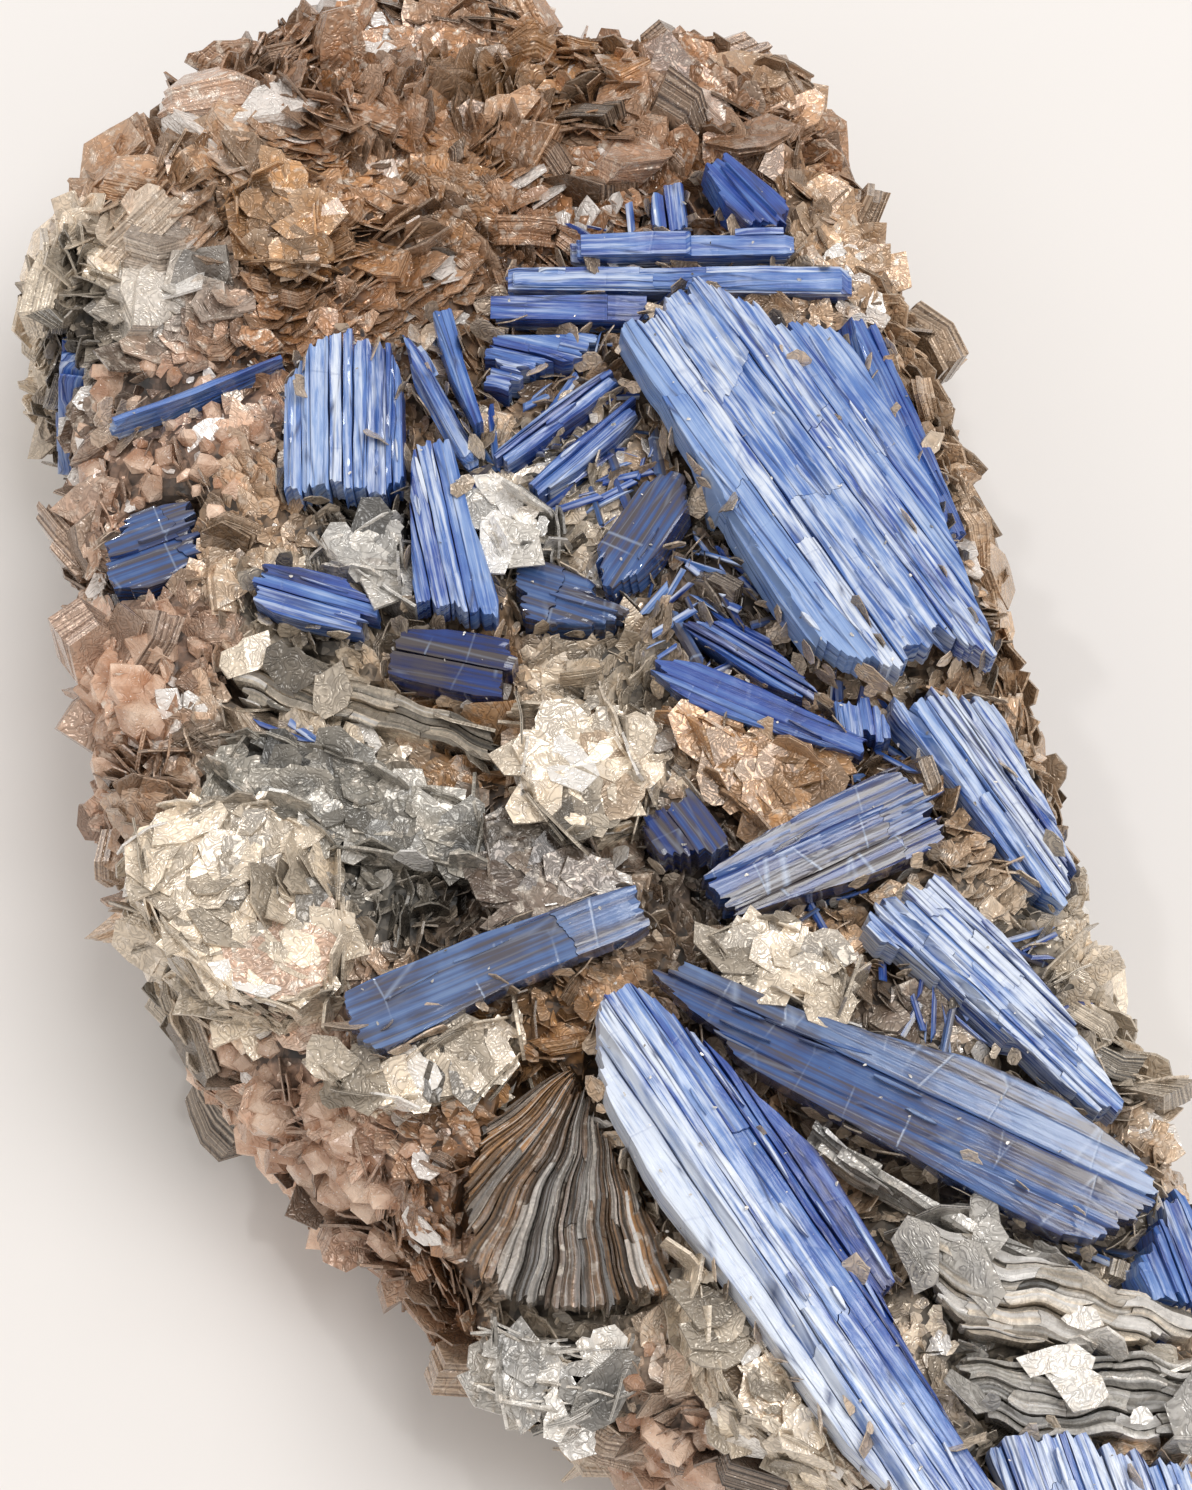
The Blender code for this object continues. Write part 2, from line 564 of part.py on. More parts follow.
def main():
    for old in list(bpy.data.objects):
        bpy.data.objects.remove(old)
    scene = bpy.context.scene
    specimen = bpy.data.collections.new("Kyanite specimen")
    seats = bpy.data.collections.new("Crystal seats")
    scene.collection.children.link(specimen)
    scene.collection.children.link(seats)

    earlier = []
    make_crystals(KYANITE, kyanite_finish(), CHAMFER, specimen, seats, earlier)
    make_crystals(MICA + MICA_ON_WALLS, mica_finish(), 0, specimen, seats, earlier)
    make_block(specimen, earlier, material("mica rock", (0.30, 0.20, 0.13), 0.6))


main()
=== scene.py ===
"""The looks of a kyanite hand specimen: plates, mica books, flakes and rock, on a pale studio floor."""

import json
import math
from collections import namedtuple

import bmesh
import bpy
import numpy as np
from bpy.props import FloatProperty, FloatVectorProperty, PointerProperty
from mathutils import Matrix, Vector, noise
from mathutils.bvhtree import BVHTree

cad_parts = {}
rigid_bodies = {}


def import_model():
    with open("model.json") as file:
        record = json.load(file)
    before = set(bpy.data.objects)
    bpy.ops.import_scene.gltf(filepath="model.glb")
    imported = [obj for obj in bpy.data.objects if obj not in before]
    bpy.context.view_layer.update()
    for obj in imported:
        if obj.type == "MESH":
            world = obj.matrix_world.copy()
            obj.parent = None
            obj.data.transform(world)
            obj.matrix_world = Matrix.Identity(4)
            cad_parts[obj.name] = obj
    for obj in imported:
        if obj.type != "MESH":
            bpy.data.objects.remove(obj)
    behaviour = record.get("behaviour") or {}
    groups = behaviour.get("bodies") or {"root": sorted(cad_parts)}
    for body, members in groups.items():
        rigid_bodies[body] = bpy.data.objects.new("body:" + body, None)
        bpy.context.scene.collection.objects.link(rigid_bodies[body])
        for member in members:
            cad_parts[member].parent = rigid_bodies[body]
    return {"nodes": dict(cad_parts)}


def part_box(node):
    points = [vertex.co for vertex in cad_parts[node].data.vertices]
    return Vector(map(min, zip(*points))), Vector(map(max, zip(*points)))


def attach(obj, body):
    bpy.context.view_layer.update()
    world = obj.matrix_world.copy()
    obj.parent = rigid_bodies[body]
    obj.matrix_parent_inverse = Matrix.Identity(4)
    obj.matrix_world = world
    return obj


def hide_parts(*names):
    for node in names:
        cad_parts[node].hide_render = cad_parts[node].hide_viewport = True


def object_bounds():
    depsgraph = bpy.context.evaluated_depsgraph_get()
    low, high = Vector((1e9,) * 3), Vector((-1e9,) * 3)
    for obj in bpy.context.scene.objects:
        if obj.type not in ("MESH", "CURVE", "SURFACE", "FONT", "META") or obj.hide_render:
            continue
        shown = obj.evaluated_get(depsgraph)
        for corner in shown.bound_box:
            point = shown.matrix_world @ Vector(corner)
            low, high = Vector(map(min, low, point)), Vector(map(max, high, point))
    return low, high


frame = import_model()
CAD_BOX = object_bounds()
BLOCK_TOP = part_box("mica_matrix")[1][2]

bl_info = {
    "name": "Kyanite Specimen",
    "version": (1, 0, 0),
    "blender": (4, 5, 0),
    "location": "3D View > Sidebar > Kyanite",
    "description": "Builds the visible crystals, mica and rock of a kyanite hand specimen",
    "category": "Object",
}

MM = 0.001
BODY = "root"

# Kyanite

# Plate is the mean width of a plate, piece how long it goes before a break, step how far plates lie under
# the crystal's top and ridge how high its striations stand, all in millimetres. Deep runs from pale to indigo
# and the pearly sheen, a painted highlight, from clean to white, and each changes by its "across" value from
# the crystal's left side to its right. Heading is the way that its striations run in plan, in degrees, where
# its own long way isn't meant.
Kyanite = namedtuple(
    "Kyanite", "plate piece step ridge deep deep_across frost frost_across clear heading",
    defaults=(1.8, 11, 0.4, 0.05, 0.45, 0.0, 0.25, 0.0, False, None))
KYANITE_LOOKS = {
    "kyanite_great_blade": Kyanite(1.0, 24, 0.34, 0.02, 0.42, 0.8, 0.42, -1.3),
    "kyanite_great_fan": Kyanite(2.4, 14, 0.15, 0.008, 0.3, 0.15, 0.4, -0.1, heading=-58),
    "kyanite_long_blade": Kyanite(6.5, 40, 0.08, 0.004, 0.44, -0.3, 0.0, clear=True),
    "kyanite_crossing_blade": Kyanite(3.0, 9, 0.2, 0.006, 0.7, 0.0, 0.0, clear=True),
    "kyanite_left_ray": Kyanite(9.0, 12, 0.06, 0.004, 0.42, 0.0, 0.0, clear=True),
    "kyanite_right_sheaf": Kyanite(0.9, 5, 0.45, 0.02, 0.28, 0.15, 0.62, -0.1),
    "kyanite_fan_tail": Kyanite(0.7, 11, 0.7, 0.035, 0.36, 0.0, 0.5, 0.2),
    "kyanite_fan_step": Kyanite(1.2, 4, 0.25, 0.02, 0.5, 0.0, 0.2, 0.0, heading=-84),
    "kyanite_rim_blade": Kyanite(1.2, 12, 0.25, 0.03, 0.6, 0.0, 0.15),
    "kyanite_top_bar": Kyanite(0.8, 8, 0.4, 0.03, 0.4, 0.0, 0.35),
    "kyanite_middle_bar": Kyanite(0.7, 9, 0.4, 0.03, 0.42, 0.0, 0.45),
    "kyanite_lower_bar": Kyanite(0.8, 7, 0.4, 0.03, 0.5, 0.0, 0.25),
    "kyanite_corner_block": Kyanite(2.2, 6, 0.3, 0.02, 0.7, 0.0, 0.05),
    "kyanite_knot": Kyanite(1.0, 4, 0.7, 0.03, 0.5, 0.0, 0.3, heading=-15),
    "kyanite_comb_panel": Kyanite(1.2, 10, 0.25, 0.012, 0.36, 0.3, 0.38, -0.2, heading=-88),
    "kyanite_standing_blade": Kyanite(1.4, 12, 0.2, 0.012, 0.45, -0.3, 0.28, 0.1, heading=-78),
    "kyanite_arrow_blade": Kyanite(2.0, 9, 0.2, 0.025, 0.48, 0.0, 0.2),
    "kyanite_indigo_block": Kyanite(5.0, 7, 0.1, 0.006, 0.95, 0.0, 0.02, clear=True),
    "kyanite_dark_needle": Kyanite(0.9, 14, 0.25, 0.02, 0.8, 0.3, 0.15),
    "kyanite_dark_splinter": Kyanite(0.9, 12, 0.25, 0.02, 0.6, 0.0, 0.2),
    "kyanite_smoky_blade": Kyanite(3.0, 9, 0.15, 0.008, 0.55, 0.0, 0.08, clear=True),
    "kyanite_pebble": Kyanite(2.6, 4, 0.4, 0.01, 0.6, 0.0, 0.12, clear=True),
    "kyanite_upper_splinter": Kyanite(0.7, 7, 0.4, 0.03, 0.56, 0.0, 0.25),
    "kyanite_lower_splinter": Kyanite(0.7, 7, 0.4, 0.03, 0.54, 0.0, 0.25),
    "kyanite_stub": Kyanite(2.6, 8, 0.15, 0.008, 0.82, 0.0, 0.05, clear=True, heading=-58),
    "kyanite_front_apron": Kyanite(1.1, 6, 0.6, 0.04, 0.28, 0.0, 0.5, heading=-72),
    "kyanite_quartz_patch": Kyanite(3.0, 4, 0.4, 0.01, 0.6, 0.0, 0.1, clear=True, heading=20),
    "kyanite_corner_blade": Kyanite(1.4, 9, 0.3, 0.03, 0.5, 0.0, 0.2, heading=-72),
}
# Kyanite lies in the direction that this one leans to, so that "across" means the same side on all of them
READING_WAY = Vector((1, -0.3, -0.2))

# Mica

# Sheets lie flat in a book, and edges stand: a fan or a stack seen on edge. The count is the sheets in a
# book, the tumble is how far they lean apart in degrees and the wave is how far they bend, in millimetres
Mica = namedtuple("Mica", "form colour second sheets tumble wave", defaults=("tan", "cream", 9, 4, 0.35))
MICA_LOOKS = {
    "mica_cream_book": Mica("sheets", "cream", "pink", 15, 7, 0.5),
    "mica_fan_book": Mica("fan", "smoke", "amber", 0, 0, 0.35),
    "mica_amber_sheet": Mica("sheets", "cream", "tan", 8, 5, 0.45),
    "mica_silver_stack": Mica("edges", "silver", "cream", 0, 0, 0.7),
    "mica_wavy_stack": Mica("edges", "silver", "grey", 0, 0, 0.8),
    "mica_white_foot": Mica("sheets", "silver", "cream", 7, 14, 0.4),
    "mica_scalloped_book": Mica("sheets", "cream", "tan", 8, 6, 0.6),
    "mica_grey_shingles": Mica("edges", "cream", "grey", 0, 0, 0.5),
    "mica_cream_flower": Mica("sheets", "cream", "amber", 9, 24, 0.5),
    "mica_grey_sheet": Mica("sheets", "grey", "silver", 6, 5, 0.3),
    "mica_pale_leaf": Mica("sheets", "cream", "cream", 4, 3, 0.35),
    "mica_white_curl": Mica("sheets", "silver", "cream", 7, 26, 0.4),
    "mica_white_fold": Mica("sheets", "silver", "tan", 7, 26, 0.4),
    "mica_smoky_sheet": Mica("sheets", "smoke", "grey", 5, 3, 0.25),
    "mica_brown_lump": Mica("sheets", "amber", "smoke", 8, 18, 0.5),
    "mica_silver_ribbon": Mica("edges", "silver", "grey", 0, 0, 0.3),
    "mica_silver_book": Mica("sheets", "amber", "cream", 11, 20, 0.35),
    "mica_far_wall_book": Mica("sheets", "brown", "tan", 9, 10, 0.4),
    "mica_left_wall_book": Mica("sheets", "pink", "cream", 8, 12, 0.4),
}
# Mica on edge is made as kyanite's plates are, of these proportions. The fan opens from its apex by half an
# angle to each side of its heading, in degrees.
EDGES = Kyanite(0.6, 3.5, 1.0, 0.05)
FAN_EDGES = Kyanite(0.7, 6, 0.7, 0.06)
FAN_HEADING = -100
FAN_HALF_ANGLE = 48

# The colour of the rock and of the flakes on it: plan place and radius in millimetres, and colour
Region = namedtuple("Region", "place radius colour")
REGIONS = [
    Region((-22, 58), 15, "brown"),
    Region((-9, 62), 6, "amber"),
    Region((-26, 47), 6, "amber"),
    Region((4, 58), 12, "brown"),
    Region((18, 60), 8, "brown"),
    Region((-6, 48), 7, "brown"),
    Region((-31, 52), 5, "tan"),
    Region((-2, 66), 4, "amber"),
    Region((-15, 51), 4, "amber"),
    Region((11, 64), 4, "tan"),
    Region((20, 52), 5, "tan"),
    Region((-40, 37), 5, "dark"),
    Region((-43, 43), 5, "cream"),
    Region((-35, 41), 4, "silver"),
    Region((-28, 39), 5, "brown"),
    Region((-35, 29), 7, "pink"),
    Region((-38, 10), 6, "pink"),
    Region((-29, 22), 5, "tan"),
    Region((-25, 15), 5, "cream"),
    Region((-21, 21), 4, "dark"),
    Region((-33, 4), 5, "brown"),
    Region((-27, 3), 5, "cream"),
    Region((-22, -4), 5, "grey"),
    Region((-31, -9), 7, "cream"),
    Region((-11, 5), 5, "amber"),
    Region((-5, 24), 5, "cream"),
    Region((2, 25), 5, "tan"),
    Region((8, 19), 5, "smoke"),
    Region((-3, 6), 5, "cream"),
    Region((8, 2), 5, "amber"),
    Region((3, -4), 4, "smoke"),
    Region((-9, -5), 5, "smoke"),
    Region((-27, -24), 9, "pink"),
    Region((-14, -30), 6, "brown"),
    Region((-8, -20), 5, "amber"),
    Region((-4, -36), 6, "cream"),
    Region((4, -46), 9, "pink"),
    Region((25, -38), 8, "cream"),
    Region((18, -20), 4, "smoke"),
    Region((31, -12), 7, "cream"),
    Region((14, 46), 6, "tan"),
    Region((36, -50), 9, "tan"),
]
# Where broken bits of blade lie between the crystals: plan place and radius in millimetres
Litter = namedtuple("Litter", "place radius")
LITTERS = [
    Litter((-2, 27), 9),
    Litter((4, 14), 6),
    Litter((-13, 24), 6),
    Litter((14, 4), 7),
    Litter((22, -16), 8),
    Litter((-24, 2), 4),
    Litter((0, 41), 7),
    Litter((30, -34), 7),
    Litter((12, -6), 5),
]


def length_setting(name, description, millimetres):
    return FloatProperty(name=name, description=description, default=millimetres * MM, unit="LENGTH")


def power_setting(name, description, watts):
    return FloatProperty(name=name, description=description, default=watts, unit="POWER")


def colour_setting(name, description, default):
    return FloatVectorProperty(
        name=name, description=description, default=default, subtype="COLOR", min=0, max=1)


class KyaniteSettings(bpy.types.PropertyGroup):
    """Sizes and colours of the blades"""

    gap: length_setting("Gap", "Crack left between two plates", 0.03)
    station: length_setting("Station", "Face size along a crystal", 0.6)
    column: length_setting("Column", "Face size across a crystal", 0.15)
    depth: length_setting("Depth", "How deep a plate goes under the top", 2.6)
    splinters: FloatProperty(
        name="Splinters", description="Loose splinters on a square millimetre of blade", default=0.06, min=0)
    pale: colour_setting("Pale", "Lightest blue", (0.25, 0.38, 0.66))
    blue: colour_setting("Blue", "Middle blue", (0.075, 0.18, 0.49))
    deep: colour_setting("Deep", "Deep blue", (0.016, 0.065, 0.33))
    indigo: colour_setting("Indigo", "Darkest blue", (0.018, 0.026, 0.12))
    smoky: colour_setting("Smoky", "What dulls clear blades", (0.15, 0.125, 0.11))
    # The white painted on the blades as their pearly sheen: a painted highlight
    frost: colour_setting("Frost", "Worn, pearly white", (0.70, 0.76, 0.86))


class MicaSettings(bpy.types.PropertyGroup):
    """Sizes and colours of the mica and of the rock"""

    sheet: length_setting("Sheet", "Thickness of one mica sheet", 0.16)
    rock_grid: length_setting("Rock grid", "Face size of the rock's skin", 0.85)
    brown: colour_setting("Brown", "Brown mica", (0.36, 0.165, 0.068))
    tan: colour_setting("Tan", "Tan mica", (0.56, 0.36, 0.21))
    cream: colour_setting("Cream", "Cream mica", (0.80, 0.68, 0.53))
    pink: colour_setting("Pink", "Pinkish mica and quartz", (0.60, 0.38, 0.27))
    grey: colour_setting("Grey", "Grey mica", (0.30, 0.28, 0.24))
    smoke: colour_setting("Smoke", "Dark smoky mica", (0.17, 0.12, 0.09))
    silver: colour_setting("Silver", "Silver mica", (0.80, 0.77, 0.72))
    amber: colour_setting("Amber", "Amber mica", (0.50, 0.25, 0.09))
    dark: colour_setting("Dark", "Black biotite", (0.03, 0.024, 0.02))


class StageSettings(bpy.types.PropertyGroup):
    """Floor, light and camera"""

    floor: colour_setting("Floor", "Floor colour", (0.81, 0.79, 0.77))
    key_power: power_setting("Key power", "Power of the large lamp", 7.0)
    glint_power: power_setting("Glint power", "Power of the small sharp lamp", 1.3)
    fill_power: power_setting("Fill power", "Power of the weak lamp", 0.25)
    sky: FloatProperty(name="Sky", description="Strength of the light from all round", default=0.66, min=0)
    lens: FloatProperty(name="Lens", description="Focal length in millimetres", default=85)
    elevation: FloatProperty(
        name="Elevation", description="Camera's height above the horizon", default=math.radians(66),
        subtype="ANGLE")
    distance: length_setting("Distance", "Camera to the point it looks at", 246.3)


def settings():
    return bpy.context.scene.kyanite_specimen


def mica_colour(name):
    return np.array(getattr(settings().mica, name))


# Meshes


class Shape:
    """Gathers vertices, faces, surface coordinates and vertex values into one mesh."""

    def __init__(self):
        self.count = 0
        self.points = []
        self.faces = []
        self.uv = []
        self.values = {}

    def add(self, points, faces, uv, **values):
        points = np.asarray(points)
        self.points.append(points)
        self.faces.extend([tuple(index + self.count for index in face) for face in faces])
        self.uv.append(np.asarray(uv))
        for name, value in values.items():
            value = np.asarray(value, dtype=float)
            parts = (4,) if name == "body_colour" else ()
            self.values.setdefault(name, []).append(np.broadcast_to(value, (len(points), *parts)))
        self.count += len(points)

    def mesh(self, name):
        made = bpy.data.meshes.new(name)
        made.from_pydata(np.concatenate(self.points).tolist(), [], self.faces)
        corners = np.empty(len(made.loops), dtype=np.int32)
        made.loops.foreach_get("vertex_index", corners)
        layer = made.uv_layers.new(name="UVMap")
        layer.data.foreach_set("uv", np.concatenate(self.uv)[corners].ravel())
        for key, parts in self.values.items():
            write_value(made, key, np.concatenate(parts))
        return made


def write_value(mesh, name, value):
    """Stores numbers, or colours with four parts, on a mesh's vertices."""
    if value.ndim == 2:
        target = mesh.attributes.new(name, "FLOAT_COLOR", "POINT")
        target.data.foreach_set("color", value.astype(np.float32).ravel())
    else:
        target = mesh.attributes.new(name, "FLOAT", "POINT")
        target.data.foreach_set("value", value.astype(np.float32))


def finish_piece(mesh, name, material, nodes=()):
    """Puts a finished mesh in the scene as a piece that stands for these nodes."""
    piece = bpy.data.objects.new(name, mesh)
    bpy.context.scene.collection.objects.link(piece)
    mesh.materials.clear()
    mesh.materials.append(material)
    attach(piece, BODY)
    if nodes:
        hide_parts(*nodes)
    return piece


def merged_copy(node):
    """A node's mesh with its loose triangles joined."""
    source = frame["nodes"][node]
    edit = bmesh.new()
    edit.from_mesh(source.data)
    bmesh.ops.remove_doubles(edit, verts=edit.verts, dist=1e-6)
    edit.transform(source.matrix_world)
    return edit


def broad_face(edit, middle):
    """The outward direction of a crystal's largest face."""
    outward = Vector((0, 0, 1))
    if middle.z <= 0.8 * BLOCK_TOP:
        outward = Vector((middle.x, 0.3 * middle.y, 0)).normalized()
    areas = {}
    for face in edit.faces:
        key = tuple(round(c * 6) for c in face.normal)
        area, total = areas.get(key, (0, Vector()))
        size = face.calc_area()
        areas[key] = (area + size * (1 + face.normal.dot(outward)), total + face.normal * size)
    return max(areas.values(), key=lambda pair: pair[0])[1].normalized()


def long_way(edit, middle, up):
    """The direction along a crystal in the plane of its broad face."""
    spread = np.zeros((3, 3))
    for face in edit.faces:
        arm = np.array(face.calc_center_median() - middle)
        spread += np.outer(arm, arm) * face.calc_area()
    flat = np.eye(3) - np.outer(up, up)
    strengths, ways = np.linalg.eigh(flat @ spread @ flat)
    return Vector(ways[:, int(np.argmax(strengths))])


class Bed:
    """A crystal's own plan: u along it, v across it and h up from it. A fan's v turns about its apex."""

    def __init__(self, node, heading=None, half_angle=None, wave=0.0):
        edit = merged_copy(node)
        self.tree = BVHTree.FromBMesh(edit)
        self.fan = None
        self.wave = wave * MM
        total = sum(face.calc_area() for face in edit.faces)
        middle = sum((face.calc_center_median() * face.calc_area() for face in edit.faces), Vector()) / total
        up = broad_face(edit, middle)
        along = self.long_axis(edit, middle, up, heading)
        across = up.cross(along)
        corners = [vertex.co - middle for vertex in edit.verts]
        if half_angle:
            start = min(corner.dot(along) for corner in corners)
            middle = middle + along * (start - 0.5 * MM)
            corners = [vertex.co - middle for vertex in edit.verts]
            self.fan = max(corner.length for corner in corners)
            half = math.radians(half_angle)
            self.range_u = (1.5 * MM, self.fan)
            self.range_v = (-half * self.fan, half * self.fan)
        else:
            self.range_u = (min(c.dot(along) for c in corners), max(c.dot(along) for c in corners))
            self.range_v = (min(c.dot(across) for c in corners), max(c.dot(across) for c in corners))
        self.high = max(corner.dot(up) for corner in corners) + MM
        self.low = min(corner.dot(up) for corner in corners) - MM
        edit.free()
        self.middle, self.along, self.across, self.up = (np.array(v) for v in (middle, along, across, up))

    @staticmethod
    def long_axis(edit, middle, up, heading):
        """Along the crystal: its given heading, or its longest way turned to the reading way."""
        along = long_way(edit, middle, up)
        if heading is not None:
            along = Vector((math.cos(math.radians(heading)), math.sin(math.radians(heading)), 0))
        along = (along - up * along.dot(up)).normalized()
        if heading is None and along.dot(READING_WAY) < 0:
            return -along
        return along

    def place(self, u, v, h):
        """Positions in the specimen's own frame of points given in the crystal's plan."""
        u, v, h = np.broadcast_arrays(u, v, h)
        if self.fan:
            turn = v / self.fan
            u, v = u * np.cos(turn), u * np.sin(turn)
        if self.wave:
            roll = 0.5 * np.sin(u * 430 + v * 160) + 0.3 * np.sin(u * 910 - v * 420 + 1.3)
            roll += 0.2 * np.sin(u * 1750 + v * 700 + 2.1)
            v = v + self.wave * roll
        return self.middle + u[..., None] * self.along + v[..., None] * self.across + h[..., None] * self.up

    def levels(self, u, v):
        """(top, bottom) of the solid at a point of its plan, or None past its edge."""
        above = Vector(self.place(u, v, self.high))
        way = Vector(self.up)
        reach = self.high - self.low
        hit = self.tree.ray_cast(above, -way, reach)
        if hit[0] is None:
            return None
        under = self.tree.ray_cast(above - way * reach, way, reach)
        return self.high - hit[3], self.low + (under[3] if under[0] else 0)


# Plates: long strips that fill a crystal, and splinters on it


def runs_of(bed, v, station):
    """The stretches where a line along the crystal lies on it, each with rows of u, top and bottom."""
    found = []
    current = []
    for u in np.arange(bed.range_u[0], bed.range_u[1] + station, station):
        levels = bed.levels(u, v)
        if levels:
            current.append((u, *levels))
        elif current:
            found.append(np.array(current).T)
            current = []
    if current:
        found.append(np.array(current).T)
    return [run for run in found if run.shape[1] > 2]


def wobble(rng, u, size, length):
    """A smooth random line: three sine waves, the shortest a fifth of the length of the longest."""
    total = np.zeros_like(u)
    for share, count in ((0.6, 1), (0.3, 2.3), (0.18, 5)):
        total += size * share * np.sin(u * count * math.tau / length + rng.uniform(0, math.tau))
    return total


def lath_strip(bed, u, sides, tops, bottom, slants, chamfer):
    """(points, faces, surface coordinates) of a strip with chamfered upper edges."""
    left, right = sides
    top_left, top_right = tops
    v = np.stack([left, left, left + chamfer, right - chamfer, right, right], 1)
    h = np.stack([bottom, top_left - chamfer, top_left, top_right, top_right - chamfer, bottom], 1)
    along = np.repeat(u[:, None], 6, 1)
    share = (v - v[:, :1]) / np.maximum(v[:, -1:] - v[:, :1], 1e-7) - 0.5
    along[0] += slants[0] * share[0]
    along[-1] += slants[1] * share[-1]
    points = bed.place(along, v, h).reshape(-1, 3)
    faces = []
    count = len(u)
    for k in range(count - 1):
        ring = 6 * k
        for side in range(6):
            after = (side + 1) % 6
            faces.append((ring + side, ring + 6 + side, ring + 6 + after, ring + after))
    last = 6 * (count - 1)
    faces += [(0, 1, 2, 3), (0, 3, 4, 5)]
    faces += [(last, last + 3, last + 2, last + 1), (last, last + 5, last + 4, last + 3)]
    uv = np.stack([along.ravel(), (v + h).ravel()], 1)
    return points, faces, uv


def breaks(rng, start, end, mean):
    """Where something from start to end is broken, about every mean."""
    places = [start]
    while end - places[-1] > 1.6 * mean:
        places.append(places[-1] + mean * rng.uniform(0.5, 1.5))
    return np.array(places + [end])


def ragged_line(rng, places, size):
    """Uneven offsets for places side by side, rough at a small scale and smoother at a large one."""
    total = rng.normal(0, size * 0.08, len(places))
    for run, share in ((3, 0.35), (7, 0.7)):
        levels = rng.normal(0, size * share, len(places) // run + 2)
        total += np.repeat(levels, run)[rng.integers(run):][:len(places)]
    return total


def columns_of(bed, left, right):
    """Lines along the crystal between two places across it: (v, where the crystal lies along it)."""
    kyanite = settings().kyanite
    found = []
    for v in np.linspace(left, right, max(3, int((right - left) / kyanite.column) + 1)):
        runs = runs_of(bed, v, kyanite.station)
        if runs:
            found.append((v, np.concatenate(runs, 1)))
    return found


# The narrowest and widest plate as shares of the mean, how many gaps between plates are wide and how many
# times as wide they are
NARROWEST = 0.35
WIDEST = 2.2
WIDE_GAPS = 0.3
WIDE_GAP = 5
# Millimetres: how ragged and how much shorter a plate's end is, how jagged a break is, how much lower a
# plate's edges lie, the shortest piece worth making, and how far a plate rolls up and down and bends sideways
TORN_END = 0.5
SHORTER_END = 0.9
JAGGED_BREAK = 0.3
LOW_EDGE = 0.05
SHORTEST = 0.35
ROLL = 0.04
CLEAR_ROLL = 0.006
BEND = 0.05


def add_plates(shape, bed, look, rng, paint):
    """Fills a crystal with plates that lie side by side, striated along and broken across."""
    kyanite = settings().kyanite
    low, high = bed.range_v
    v = low
    while v < high:
        width = look.plate * MM * float(np.clip(rng.lognormal(-0.1, 0.5), NARROWEST, WIDEST))
        if high - v - width < 0.4 * look.plate * MM:
            width = high - v
        gap = kyanite.gap * (WIDE_GAP if rng.random() < WIDE_GAPS else 1)
        across = 2 * (v + width / 2 - low) / (high - low) - 1
        columns = columns_of(bed, v + gap / 2, v + width - gap / 2)
        if len(columns) > 2:
            add_plate(shape, bed, look, rng, columns, paint(look, across, rng))
        v += width


def blue_paint(look, across, rng):
    """A plate's blue and painted pearly sheen; raised striations get painted highlight, low edges painted
    shade.
    """
    deep = look.deep + look.deep_across * across / 2 + rng.normal(0, 0.07)
    frost = look.frost + look.frost_across * across / 2 + rng.normal(0, 0.1)

    def values(lift):
        # Painted light and shade: striations that stand out are painted paler and whiter, a plate's lowered
        # edges deeper
        return {
            "deep": np.clip(deep - 3 * lift + rng.normal(0, 0.04), 0, 1),
            "frost": np.clip(frost + 3 * lift + rng.normal(0, 0.05), 0, 1),
            "tint": np.full_like(lift, rng.random()),
        }

    return values


def plate_ends(columns, rng):
    """Where a plate starts and stops on each of its columns, torn at both ends."""
    v = np.array([column[0] for column in columns])
    ends = []
    for index, way in ((0, 1), (-1, -1)):
        end = np.array([column[1][0][index] for column in columns]) - way * 0.3 * MM
        torn = np.abs(ragged_line(rng, v, TORN_END * MM)) + rng.random() ** 2 * SHORTER_END * MM
        ends.append(end + way * torn)
    return v, *ends


def longest_run(fits):
    """The longest unbroken run of the columns that are long enough, as their indices."""
    if len(fits) < 3:
        return ()
    return max(np.split(fits, np.flatnonzero(np.diff(fits) > 1) + 1), key=len)


def add_plate(shape, bed, look, rng, columns, values_of):
    """One plate of a crystal, in the pieces that it is broken into."""
    kyanite = settings().kyanite
    v, starts, stops = plate_ends(columns, rng)
    places = breaks(rng, starts.min(), stops.max(), look.piece * MM)
    jags = [ragged_line(rng, v, JAGGED_BREAK * MM) + rng.normal(0, 0.4) * (v - v.mean()) for _ in places]
    ridges = np.convolve(rng.normal(0, look.ridge * MM, len(v)), [0.25, 0.6, 0.25], "same")
    ridges[[0, -1]] -= LOW_EDGE * MM
    sink = look.step * MM * rng.random()
    breaks_at = [place + jag for place, jag in zip(places, jags)]
    for k in range(len(places) - 1):
        first = starts if k == 0 else np.maximum(starts, breaks_at[k] + kyanite.gap / 2)
        last = stops if k == len(places) - 2 else np.minimum(stops, breaks_at[k + 1] - kyanite.gap / 2)
        run = longest_run(np.flatnonzero(last - first > SHORTEST * MM))
        if len(run) > 2:
            here = [columns[j] for j in run]
            ends = (first[run], last[run])
            grid = piece_grid(look, rng, here, v[run], ends, ridges[run], sink)
            lift = np.broadcast_to(ridges[run] / MM, grid[0].shape)
            add_slab(shape, bed, grid, values_of(lift), rng)


